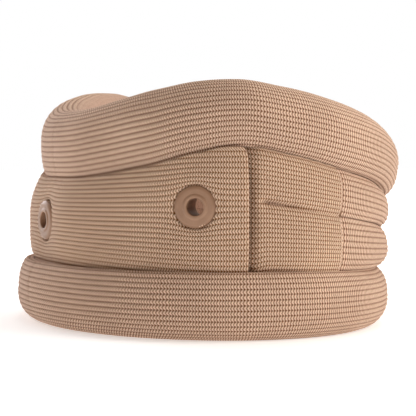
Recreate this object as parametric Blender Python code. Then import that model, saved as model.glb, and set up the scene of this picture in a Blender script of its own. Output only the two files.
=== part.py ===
"""Soft cervical collar with a stiffened chin support.

Padded rolls run round the neck in a shallow oval. The front section is held stiff by a
plastic-cored support band with three vent eyelets. A wing flexes outwards on each side behind the
band, and a hook-and-loop strap joins the two wings at the nape.

Frame: +Z up, -Y towards the chin, +X towards the wearer's left. The collar stands on Z = 0.
Places round the neck are given by an angle: 0 at the chin, 90 at the wearer's left, 180 at the nape.
"""

from bisect import bisect_right
from math import cos, degrees, hypot, pi, radians, sin

import bmesh
import bpy
from mathutils import Matrix, Vector

# ---- Overall plan, in metres
HALF_WIDTH = 0.094  # across the shoulders, to the bottom roll's outer face
HALF_DEPTH = 0.0757  # chin to nape, to the bottom roll's outer face

# ---- Heights: (angle, height) where the height changes, smooth in between
BOTTOM_ROLL_HEIGHT = 0.026
SUPPORT_HEIGHT = (
    (0, 0.0348),
    (20, 0.0352),
    (45, 0.0395),
    (60, 0.0445),
    (76, 0.0477),
    (92, 0.0445),
    (110, 0.0395),
    (130, 0.0345),
    (155, 0.0268),
    (180, 0.0245),
)
TOP_ROLL_HEIGHT = (
    (0, 0.0280),
    (30, 0.0300),
    (45, 0.0304),
    (60, 0.0281),
    (76, 0.0255),
    (110, 0.0275),
    (145, 0.0262),
    (180, 0.0255),
)
CHANNEL_SHARE = ((70, 0.58), (90, 0.56), (110, 0.53), (130, 0.50), (180, 0.51))

# ---- Thicknesses and how far each roll stands in or out of the bottom roll's outer face
BOTTOM_ROLL_THICKNESS = 0.025
TOP_ROLL_THICKNESS = 0.025
MIDDLE_THICKNESS = 0.020
MIDDLE_SETBACK = 0.0028
MIDDLE_LEAN = 0.0034
TOP_SETBACK = 0.0020
TOP_LEAN = 0.0085
KNIT_THICKNESS = 0.0012

# ---- Support band
BAND_THICKNESS = 0.0060
BAND_RECESS = 0.0022
BAND_SKIN = 0.0010
STIFFENER_THICKNESS = 0.0012
STIFFENER_MARGIN = BAND_THICKNESS / 2  # keeps it clear of the sleeve's round edges
BAND_END_ANGLE = 78.0

# ---- Vent eyelets
EYELET_SIDE_ANGLE = 61.8
CENTRE_EYELET_SHARE = 0.50  # of the way up the middle zone
SIDE_EYELET_SHARE = 0.55
FLANGE_DIAMETER = 0.0162
FLANGE_THICKNESS = 0.0018
BARREL_DIAMETER = 0.0094
VENT_DIAMETER = 0.0066
RIM_WIDTH = 0.0007
WASHER_DIAMETER = 0.0140
WASHER_THICKNESS = 0.0014
WASHER_STANDOFF = 0.0014  # lets the flat washer span the hollow of the inner face
ROUND_SIDES = 24

# ---- Side tab behind the band
TAB_THICKNESS = 0.0020
TAB_END_ANGLE = 110.6
TAB_CORNER_RADIUS = 0.009
TAB_MARGIN = 0.0006
TAB_GROOVE_DEPTH = 0.0008

# ---- Closure at the nape
STRAP_WIDTH = 0.020
STRAP_THICKNESS = 0.0016
TAPE_THICKNESS = 0.0012
STRAP_SEWN_FROM = 158.0
STRAP_FOLD_ANGLE = 169.0
STRAP_TIP_ANGLE = 205.0
STRAP_TIP_RADIUS = 0.007
HOOK_FROM_ANGLE = 185.0
LOOP_FROM_ANGLE = 182.5
LOOP_TO_ANGLE = 212.0
TAPE_MARGIN = 0.0015

# ---- Fits
GAP = 0.0003  # between pieces that touch
SECTION_GAP = 0.0006  # between the front section and a wing, at the outer face
NAPE_GAP = 0.0004  # from each wing's end to the middle plane
PIVOT_CLEARANCE = 0.0005  # from the outermost face to a wing's flexing axis

PROFILE_POINTS = 12
FRONT_STATIONS = 15
WING_STATIONS = 9
STRIP_STEP = 4.5  # degrees


def along(stations, angle):
    """Smooth height at an angle, level at both ends; the two sides of the neck are alike."""
    angle = min(abs(angle), 360.0 - abs(angle))
    places = [place for place, _ in stations]
    values = [value for _, value in stations]
    angle = min(max(angle, places[0]), places[-1])
    index = min(bisect_right(places, angle), len(places) - 1) - 1

    def slope(at):
        if at in (0, len(places) - 1):
            return 0.0
        return (values[at + 1] - values[at - 1]) / (places[at + 1] - places[at - 1])

    span = places[index + 1] - places[index]
    share = (angle - places[index]) / span
    squared, cubed = share**2, share**3
    return (
        (2 * cubed - 3 * squared + 1) * values[index]
        + (cubed - 2 * squared + share) * span * slope(index)
        + (3 * squared - 2 * cubed) * values[index + 1]
        + (cubed - squared) * span * slope(index + 1)
    )


def middle_face(angle):
    """Outer face of the middle zone, outwards from the bottom roll's."""
    return -MIDDLE_SETBACK - MIDDLE_LEAN * cos(radians(angle))


def top_face(angle):
    """Outer face of the top roll, outwards from the bottom roll's."""
    return -TOP_SETBACK - TOP_LEAN * cos(radians(angle))


def upper_seam(angle):
    """Height of the seam between the middle zone and the top roll."""
    return BOTTOM_ROLL_HEIGHT + along(SUPPORT_HEIGHT, angle)


def channel_seam(angle):
    """Height of the stitched channel between the two rear rolls."""
    return BOTTOM_ROLL_HEIGHT + along(SUPPORT_HEIGHT, angle) * along(CHANNEL_SHARE, angle)


def top_edge(angle):
    """Height of the top roll's crest."""
    return upper_seam(angle) + along(TOP_ROLL_HEIGHT, angle)


CENTRE_SHIFT = -max(top_face(180), 0.0) / 2  # brings the middle of the whole box to Y = 0


def outward(angle):
    """Level unit vector square to the oval at an angle."""
    turn = radians(angle)
    return Vector((HALF_DEPTH * sin(turn), -HALF_WIDTH * cos(turn), 0)).normalized()


def place(angle, outwards, height):
    """A point at an angle round the neck, outwards from the bottom roll's outer face."""
    turn = radians(angle)
    on_oval = Vector((HALF_WIDTH * sin(turn), CENTRE_SHIFT - HALF_DEPTH * cos(turn), height))
    return on_oval + outward(angle) * outwards


def degrees_for(length, angle):
    """Angle that covers a length along the oval at an angle."""
    turn = radians(angle)
    return degrees(length / hypot(HALF_WIDTH * cos(turn), HALF_DEPTH * sin(turn)))


def drawn_in(angles, length, both_ends=False):
    """The same stations with the last, or both ends, drawn in by a length along the oval."""
    angles = list(angles)
    travel = 1 if angles[-1] > angles[0] else -1
    angles[-1] -= travel * degrees_for(length, angles[-1])
    if both_ends:
        angles[0] += travel * degrees_for(length, angles[0])
    return angles


def evenly(first, last, count):
    """Angles from first to last, both included."""
    return [first + (last - first) * step / (count - 1) for step in range(count)]


def strip_angles(first, last):
    """Both ends of a strip, and the whole steps between them, which layered strips share."""
    steps = range(int(first / STRIP_STEP) + 1, int(last / STRIP_STEP) + 1)
    return [first] + [step * STRIP_STEP for step in steps if step * STRIP_STEP < last] + [last]


def corner_angles(end, radius, turns):
    """Stations round a corner that ends at an angle."""
    reach = degrees_for(radius, end) * (1 if end > 0 else -1)
    return [end - reach * (1 - sin(radians(turn))) for turn in turns]


def rounded_profile(inner, outer, low, high, fullness=2.6):
    """Closed outline in (outwards, height), with short flats at its four extremes."""
    outline = []
    reach = cos(pi / PROFILE_POINTS) ** (2 / fullness)
    for step in range(PROFILE_POINTS):
        turn = 2 * pi * (step + 0.5) / PROFILE_POINTS
        across, up = cos(turn), sin(turn)
        across = abs(across) ** (2 / fullness) * (1 if across > 0 else -1) / reach
        up = abs(up) ** (2 / fullness) * (1 if up > 0 else -1) / reach
        outwards = (inner + outer) / 2 + (outer - inner) / 2 * across
        height = (low + high) / 2 + (high - low) / 2 * up
        outline.append((outwards, height))
    return outline


def add_ring(mesh, angle, outline):
    """Vertices of one station's outline."""
    return [mesh.verts.new(place(angle, outwards, height)) for outwards, height in outline]


def join_rings(mesh, ring, other):
    """Band of faces between two rings, vertex to matching vertex."""
    for at, vert in enumerate(ring):
        mesh.faces.new((ring[at - 1], vert, other[at], other[at - 1]))


def add_loft(mesh, angles, outline_at):
    """Open tube through one outline per station; returns its first and last rings."""
    rings = [add_ring(mesh, angle, outline_at(angle)) for angle in angles]
    for before, after in zip(rings, rings[1:]):
        join_rings(mesh, before, after)
    return rings[0], rings[-1]


def foot_of(empty):
    """World position of a hinge's empty."""
    foot = Vector()
    while empty is not None:
        foot += empty.location
        empty = empty.parent
    return foot


def new_object(name, mesh, finish, hinge=None, smooth_below=40.0):
    """Named object from a bmesh, smooth but for its sharp edges, carried by its hinge's empty."""
    bmesh.ops.recalc_face_normals(mesh, faces=mesh.faces)
    data = bpy.data.meshes.new(name)
    mesh.to_mesh(data)
    mesh.free()
    data.shade_smooth()
    data.set_sharp_from_angle(angle=radians(smooth_below))
    data.materials.append(finish)
    obj = bpy.data.objects.new(name, data)
    bpy.context.collection.objects.link(obj)
    if hinge is not None:
        obj.parent = hinge
        obj.location = -foot_of(hinge)
    return obj


def add_hinge(name, foot, parent=None):
    """Empty at the foot of an upright flexing axis."""
    hinge = bpy.data.objects.new(name, None)
    hinge.location = foot - foot_of(parent)
    hinge.parent = parent
    hinge.empty_display_size = 0.02
    bpy.context.collection.objects.link(hinge)
    return hinge


def solid_loft(name, angles, outline_at, finish, hinge=None):
    """Solid along the oval with flat ends."""
    mesh = bmesh.new()
    for ring in add_loft(mesh, angles, outline_at):
        mesh.faces.new(ring)
    return new_object(name, mesh, finish, hinge)


def sleeve_loft(name, angles, outline_at, finish, hinge, sewn_end):
    """Tubular knit cover, open at its first end; its last end is sewn shut if sewn_end."""
    mesh = bmesh.new()
    cavity_angles = drawn_in(angles, 2 * KNIT_THICKNESS) if sewn_end else angles
    outer_first, outer_last = add_loft(mesh, angles, lambda angle: outline_at(angle, 0.0))
    inner_first, inner_last = add_loft(
        mesh, cavity_angles, lambda angle: outline_at(angle, KNIT_THICKNESS)
    )
    join_rings(mesh, outer_first, inner_first)
    if sewn_end:
        mesh.faces.new(outer_last)
        mesh.faces.new(inner_last)
    else:
        join_rings(mesh, outer_last, inner_last)
    return new_object(name, mesh, finish, hinge)


def add_padded_roll(name, angles, room_at, finishes, hinge=None, sewn_end=False):
    """Knit cover and foam core of one roll; room_at gives its inner, outer, low and high."""

    def outline_at(angle, margin):
        inner, outer, low, high = room_at(angle)
        return rounded_profile(inner + margin, outer - margin, low + margin, high - margin)

    cover = sleeve_loft(
        name.format("cover"), angles, outline_at, finishes["knit"], hinge, sewn_end
    )
    foam = solid_loft(
        name.format("foam"),
        drawn_in(angles, 2 * KNIT_THICKNESS + SECTION_GAP) if sewn_end else angles,
        lambda angle: outline_at(angle, KNIT_THICKNESS + GAP),
        finishes["foam"],
        hinge,
    )
    return cover, foam


def bottom_room(angle):
    """Room of the bottom roll."""
    return -BOTTOM_ROLL_THICKNESS, 0.0, 0.0, BOTTOM_ROLL_HEIGHT - GAP / 2


def top_room(angle):
    """Room of the top roll."""
    outer = top_face(angle)
    return outer - TOP_ROLL_THICKNESS, outer, upper_seam(angle) + GAP / 2, top_edge(angle)


def panel_room(angle):
    """Room of the padded panel behind the support band."""
    outer = middle_face(angle) - BAND_RECESS - BAND_THICKNESS - GAP
    inner = middle_face(angle) - MIDDLE_THICKNESS
    return inner, outer, BOTTOM_ROLL_HEIGHT + GAP / 2, upper_seam(angle) - GAP / 2


def rear_face(angle):
    """Outer face of the rear rolls, under the side tab."""
    return middle_face(angle) - TAB_THICKNESS - GAP


def rear_lower_room(angle):
    """Room of the lower rear roll."""
    inner = middle_face(angle) - MIDDLE_THICKNESS
    return inner, rear_face(angle), BOTTOM_ROLL_HEIGHT + GAP / 2, channel_seam(angle) - GAP / 2


def rear_upper_room(angle):
    """Room of the upper rear roll."""
    inner = middle_face(angle) - MIDDLE_THICKNESS
    return inner, rear_face(angle), channel_seam(angle) + GAP / 2, upper_seam(angle) - GAP / 2


def band_outline(angle, behind_face, before_back, from_edge, fullness=5.0):
    """Outline in the support band's room, set in from its face, its back and its long edges."""
    face = middle_face(angle) - BAND_RECESS
    low = BOTTOM_ROLL_HEIGHT + GAP / 2 + from_edge
    high = upper_seam(angle) - GAP / 2 - from_edge
    back = face - BAND_THICKNESS
    return rounded_profile(back + before_back, face - behind_face, low, high, fullness)


def eyelets():
    """Name, angle and share of the middle zone's height of each vent eyelet."""
    return (
        ("centre", 0.0, CENTRE_EYELET_SHARE),
        ("left", EYELET_SIDE_ANGLE, SIDE_EYELET_SHARE),
        ("right", -EYELET_SIDE_ANGLE, SIDE_EYELET_SHARE),
    )


def eyelet_frame(angle, share):
    """Matrix at the band's face over an eyelet, with +Z outwards."""
    height = BOTTOM_ROLL_HEIGHT + along(SUPPORT_HEIGHT, angle) * share
    centre = place(angle, middle_face(angle) - BAND_RECESS, height)
    return Matrix.Translation(centre) @ outward(angle).to_track_quat("Z", "Y").to_matrix().to_4x4()


def add_turned(name, outline, frame, finish):
    """Ring turned from a closed outline of (radius, height) about its own Z axis."""
    mesh = bmesh.new()
    verts = [mesh.verts.new((radius, 0, height)) for radius, height in outline]
    edges = [mesh.edges.new((vert, verts[at - 1])) for at, vert in enumerate(verts)]
    bmesh.ops.spin(
        mesh,
        geom=verts + edges,
        cent=(0, 0, 0),
        axis=(0, 0, 1),
        angle=2 * pi,
        steps=ROUND_SIDES,
        use_merge=True,
    )
    obj = new_object(name, mesh, finish)
    obj.matrix_world = frame
    return obj


def add_vent_cutter(frames):
    """Wire-only cylinders that open the vents through band and panel."""
    mesh = bmesh.new()
    radius = BARREL_DIAMETER / 2 + GAP
    for frame in frames:
        bmesh.ops.create_cone(
            mesh,
            cap_ends=True,
            segments=ROUND_SIDES,
            radius1=radius,
            radius2=radius,
            depth=3 * MIDDLE_THICKNESS,
            matrix=frame,
        )
    data = bpy.data.meshes.new("vent_cutter")
    mesh.to_mesh(data)
    mesh.free()
    cutter = bpy.data.objects.new("vent_cutter", data)
    bpy.context.collection.objects.link(cutter)
    return hidden(cutter)


def hidden(cutter):
    """Keeps a cutter out of the model."""
    cutter.hide_render = True
    cutter.display_type = "WIRE"
    return cutter


def cut(obj, cutter):
    """Leaves an object open where the cutter passes."""
    modifier = obj.modifiers.new(cutter.name, "BOOLEAN")
    modifier.operation = "DIFFERENCE"
    modifier.solver = "EXACT"
    modifier.object = cutter


def add_band_cover(angles, cutter, finishes):
    """Knit sleeve of the support band: hollow, and open only at its three vents."""
    cover = solid_loft(
        "support_band_cover",
        angles,
        lambda angle: band_outline(angle, 0.0, 0.0, 0.0),
        finishes["knit"],
    )
    hollow = solid_loft(
        "support_band_hollow",
        drawn_in(angles, BAND_SKIN, both_ends=True),
        lambda angle: band_outline(angle, BAND_SKIN, BAND_SKIN, BAND_SKIN),
        finishes["knit"],
    )
    cut(cover, hidden(hollow))
    cut(cover, cutter)


def add_band_core(angles, cutter, finishes):
    """Plastic stiffener and the thin foam over it, inside the support band's sleeve."""
    core_back = BAND_SKIN + GAP
    core_face = BAND_THICKNESS - core_back - STIFFENER_THICKNESS
    stiffener = solid_loft(
        "support_band_stiffener",
        drawn_in(angles, STIFFENER_MARGIN, both_ends=True),
        lambda angle: band_outline(angle, core_face, core_back, STIFFENER_MARGIN, 12.0),
        finishes["stiffener"],
    )
    foam_back = core_back + STIFFENER_THICKNESS + GAP
    padding = solid_loft(
        "support_band_padding",
        drawn_in(angles, STIFFENER_MARGIN, both_ends=True),
        lambda angle: band_outline(angle, core_back, foam_back, STIFFENER_MARGIN),
        finishes["foam"],
    )
    cut(stiffener, cutter)
    cut(padding, cutter)


def add_eyelet(name, frame, finishes):
    """Flanged eyelet pushed in from outside, and the snap washer on the inner face."""
    through = MIDDLE_THICKNESS - BAND_RECESS
    seat = GAP
    face = seat + FLANGE_THICKNESS
    flange = FLANGE_DIAMETER / 2
    barrel = BARREL_DIAMETER / 2
    vent = VENT_DIAMETER / 2
    rounding = FLANGE_THICKNESS / 3
    washer_near = -through - WASHER_STANDOFF
    washer_far = washer_near - WASHER_THICKNESS
    end = washer_far - GAP
    outline = [
        (vent, end),
        (vent, face - RIM_WIDTH / 2),
        (vent + RIM_WIDTH / 2, face),
        (vent + 3 * RIM_WIDTH / 2, face),
        (vent + 2 * RIM_WIDTH, face - RIM_WIDTH / 2),
        (flange - 2 * rounding, face - RIM_WIDTH / 2),
        (flange - rounding / 2, face - rounding),
        (flange, seat + rounding),
        (flange, seat),
        (barrel, seat),
        (barrel, end),
    ]
    add_turned(f"eyelet_{name}", outline, frame, finishes["eyelet"])
    bore = barrel + GAP
    washer = WASHER_DIAMETER / 2
    chamfer = WASHER_THICKNESS / 3
    washer_outline = [
        (bore, washer_far),
        (bore, washer_near),
        (washer, washer_near),
        (washer, washer_far + chamfer),
        (washer - chamfer, washer_far),
    ]
    add_turned(f"eyelet_washer_{name}", washer_outline, frame, finishes["eyelet"])


def add_front_section(finishes):
    """Everything carried by the stiffened front."""
    angles = evenly(-BAND_END_ANGLE, BAND_END_ANGLE, FRONT_STATIONS)
    add_padded_roll("bottom_roll_{}_front", angles, bottom_room, finishes)
    add_padded_roll("top_roll_{}_front", angles, top_room, finishes)
    panel = add_padded_roll("middle_panel_{}_front", angles, panel_room, finishes)
    frames = {name: eyelet_frame(angle, share) for name, angle, share in eyelets()}
    cutter = add_vent_cutter(frames.values())
    for piece in panel:
        cut(piece, cutter)
    add_band_cover(angles, cutter, finishes)
    add_band_core(angles, cutter, finishes)
    for name, frame in frames.items():
        add_eyelet(name, frame, finishes)


def round_end_drop(from_end, radius):
    """How far an edge has dropped at a distance from the end of a quarter-round corner."""
    if from_end >= radius:
        return 0.0
    return radius - (radius**2 - (radius - max(from_end, 0.0)) ** 2) ** 0.5


def tab_outline(angle, end):
    """Outline of a side tab: a thin plate grooved along the channel."""
    outer = middle_face(angle)
    inner = outer - TAB_THICKNESS
    low = BOTTOM_ROLL_HEIGHT + TAB_MARGIN
    from_end = abs(end - angle) / degrees_for(1.0, end)
    high = upper_seam(angle) - TAB_MARGIN - round_end_drop(from_end, TAB_CORNER_RADIUS)
    groove = channel_seam(angle)
    edge = TAB_THICKNESS / 3
    return [
        (inner, low),
        (outer - edge, low),
        (outer, low + edge),
        (outer, groove - 2 * TAB_GROOVE_DEPTH),
        (outer - TAB_GROOVE_DEPTH, groove),
        (outer, groove + 2 * TAB_GROOVE_DEPTH),
        (outer, high - edge),
        (outer - edge, high),
        (inner, high),
    ]


def add_side_tab(name, angles, end, finishes, hinge):
    """Tab that comes out from under the band and ends in a hem over the rear rolls."""
    rounding = corner_angles(end, TAB_CORNER_RADIUS, (0, 25, 50, 75, 90))
    under = [angle for angle in angles if abs(angle) < abs(rounding[0])]
    solid_loft(
        name,
        under + rounding,
        lambda angle: tab_outline(angle, end),
        finishes["knit"],
        hinge,
    )


def add_wing(side, name, finishes):
    """Rolls and tab behind the support band on one side; side is 1 for the wearer's left."""
    foot = place(side * BAND_END_ANGLE, PIVOT_CLEARANCE, 0.0)
    hinge = add_hinge(f"{name}_wing_axis", foot)
    start = side * (BAND_END_ANGLE + degrees_for(SECTION_GAP, BAND_END_ANGLE))
    nape = side * (180.0 - degrees_for(NAPE_GAP, 180.0))
    angles = evenly(start, nape, WING_STATIONS)
    rooms = {
        "bottom_roll": bottom_room,
        "top_roll": top_room,
        "rear_lower_roll": rear_lower_room,
        "rear_upper_roll": rear_upper_room,
    }
    for roll, room_at in rooms.items():
        add_padded_roll(f"{roll}_{{}}_{name}", angles, room_at, finishes, hinge, sewn_end=True)
    add_side_tab(f"side_tab_{name}", angles, side * TAB_END_ANGLE, finishes, hinge)
    return hinge


def loop_tape_back(angle):
    """Inner face of the loop tape, on the rear rolls."""
    return rear_face(angle) + GAP


def hook_tape_back(angle):
    """Inner face of the hook tape, on the loop tape."""
    return loop_tape_back(angle) + TAPE_THICKNESS + GAP


def strap_back(angle):
    """Inner face of the strap: on the rolls where it is sewn down, over both tapes past the fold."""
    lifted = hook_tape_back(angle) + TAPE_THICKNESS + GAP
    share = (angle - STRAP_SEWN_FROM) / (STRAP_FOLD_ANGLE - STRAP_SEWN_FROM)
    share = min(max(share, 0.0), 1.0)
    rise = share**2 * (3 - 2 * share)
    return loop_tape_back(angle) + (lifted - loop_tape_back(angle)) * rise


def strip_outline(angle, back, thickness, width):
    """Outline of a strip standing on edge along the middle of the rear rolls."""
    centre = (BOTTOM_ROLL_HEIGHT + upper_seam(angle)) / 2
    low = centre - width / 2
    high = centre + width / 2
    face = back + thickness
    bevel = thickness / 3
    return [
        (back, low),
        (face - bevel, low),
        (face, low + bevel),
        (face, high - bevel),
        (face - bevel, high),
        (back, high),
    ]


def strap_outline(angle):
    """Outline of the closure strap, with its tip rounded."""
    from_tip = (STRAP_TIP_ANGLE - angle) / degrees_for(1.0, STRAP_TIP_ANGLE)
    drop = round_end_drop(from_tip, STRAP_TIP_RADIUS)
    return strip_outline(angle, strap_back(angle), STRAP_THICKNESS, STRAP_WIDTH - 2 * drop)


def tape_outline(angle, back_at):
    """Outline of a hook or loop tape, a little narrower than the strap."""
    return strip_outline(angle, back_at(angle), TAPE_THICKNESS, STRAP_WIDTH - 2 * TAPE_MARGIN)


def add_closure(left_hinge, right_hinge, finishes):
    """Strap sewn to the left wing, its free flap with hook tape, and loop tape on the right wing."""
    solid_loft(
        "strap_root",
        strip_angles(STRAP_SEWN_FROM, STRAP_FOLD_ANGLE),
        strap_outline,
        finishes["strap"],
        left_hinge,
    )
    axis_outwards = strap_back(STRAP_FOLD_ANGLE) + STRAP_THICKNESS + PIVOT_CLEARANCE
    fold_axis = place(STRAP_FOLD_ANGLE, axis_outwards, 0.0)
    fold = add_hinge("closure_strap_axis", fold_axis, left_hinge)
    flap_start = STRAP_FOLD_ANGLE + degrees_for(GAP, STRAP_FOLD_ANGLE)
    tip = corner_angles(STRAP_TIP_ANGLE, STRAP_TIP_RADIUS, (0, 30, 60, 90))
    solid_loft(
        "closure_strap",
        strip_angles(flap_start, tip[0]) + tip[1:],
        strap_outline,
        finishes["strap"],
        fold,
    )
    solid_loft(
        "hook_tape",
        strip_angles(HOOK_FROM_ANGLE, tip[0]),
        lambda angle: tape_outline(angle, hook_tape_back),
        finishes["hook"],
        fold,
    )
    solid_loft(
        "loop_tape",
        strip_angles(LOOP_FROM_ANGLE, LOOP_TO_ANGLE),
        lambda angle: tape_outline(angle, loop_tape_back),
        finishes["loop"],
        right_hinge,
    )


def make_finish(name, colour, roughness):
    """Material of one kind of piece."""
    material = bpy.data.materials.new(name)
    material.use_nodes = True
    shader = material.node_tree.nodes["Principled BSDF"]
    shader.inputs["Base Color"].default_value = (*colour, 1.0)
    shader.inputs["Roughness"].default_value = roughness
    shader.inputs["Metallic"].default_value = 0.0
    return material


def make_finishes():
    """Materials by the kind of piece that they are for."""
    return {
        "knit": make_finish("ribbed_knit", (0.42, 0.27, 0.18), 0.95),
        "foam": make_finish("polyurethane_foam", (0.83, 0.78, 0.62), 0.9),
        "stiffener": make_finish("polyethylene", (0.86, 0.85, 0.81), 0.4),
        "eyelet": make_finish("moulded_eyelet", (0.38, 0.22, 0.13), 0.45),
        "strap": make_finish("woven_strap", (0.42, 0.28, 0.19), 0.8),
        "hook": make_finish("hook_tape", (0.45, 0.32, 0.23), 0.6),
        "loop": make_finish("loop_tape", (0.46, 0.33, 0.24), 0.95),
    }


def clear_scene():
    """Removes whatever the scene holds."""
    for obj in list(bpy.data.objects):
        bpy.data.objects.remove(obj, do_unlink=True)


clear_scene()
FINISHES = make_finishes()
add_front_section(FINISHES)
LEFT_HINGE = add_wing(1, "left", FINISHES)
RIGHT_HINGE = add_wing(-1, "right", FINISHES)
add_closure(LEFT_HINGE, RIGHT_HINGE, FINISHES)
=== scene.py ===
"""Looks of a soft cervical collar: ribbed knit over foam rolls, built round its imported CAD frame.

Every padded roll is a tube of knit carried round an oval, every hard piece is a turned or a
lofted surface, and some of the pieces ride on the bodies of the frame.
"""

import logging
import math
from collections.abc import Callable, Sequence
from dataclasses import dataclass
from enum import Enum

import bpy
import numpy as np
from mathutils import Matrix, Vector


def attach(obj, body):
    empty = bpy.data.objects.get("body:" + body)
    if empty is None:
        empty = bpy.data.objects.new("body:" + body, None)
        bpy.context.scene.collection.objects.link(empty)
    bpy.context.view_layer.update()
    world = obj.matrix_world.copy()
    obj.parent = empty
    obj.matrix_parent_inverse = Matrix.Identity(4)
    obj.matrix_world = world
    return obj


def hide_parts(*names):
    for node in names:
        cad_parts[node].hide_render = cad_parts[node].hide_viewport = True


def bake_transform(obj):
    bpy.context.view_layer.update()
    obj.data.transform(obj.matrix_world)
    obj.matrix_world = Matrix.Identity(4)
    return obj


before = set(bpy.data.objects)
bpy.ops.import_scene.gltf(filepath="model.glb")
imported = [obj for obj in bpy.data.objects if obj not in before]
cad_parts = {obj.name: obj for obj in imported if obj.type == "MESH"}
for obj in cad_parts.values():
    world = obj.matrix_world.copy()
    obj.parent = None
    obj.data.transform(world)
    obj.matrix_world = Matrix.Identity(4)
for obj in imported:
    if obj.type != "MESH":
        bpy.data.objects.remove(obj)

LOG = logging.getLogger("collar")
MM = 0.001
Colour = tuple[float, float, float]
Stations = tuple[tuple[float, float], ...]


def smooth(value: np.ndarray | float) -> np.ndarray:
    """Eases a share from 0 to 1, level at both ends: 3x² - 2x³ of the clipped value."""
    share = np.clip(value, 0.0, 1.0)
    return share * share * (3.0 - 2.0 * share)


def signed_power(value: np.ndarray, power: np.ndarray | float) -> np.ndarray:
    """The value's size raised to a power, with its sign kept."""
    return np.sign(value) * np.abs(value) ** power


def unit(vectors: np.ndarray) -> np.ndarray:
    """Vectors brought to length one along the last axis."""
    return vectors / np.maximum(np.linalg.norm(vectors, axis=-1, keepdims=True), 1e-12)


class Side(Enum):
    """The wearer's side that a wing is on; the value is the sign of X."""

    LEFT = 1
    RIGHT = -1

    @property
    def label(self) -> str:
        """The side's word in the names of pieces."""
        return self.name.lower()

    @property
    def wing(self) -> str:
        """The frame's body that carries this side behind the support band."""
        return f"{self.label}_wing"


# ---------------------------------------------------------------- the collar's form


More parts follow.
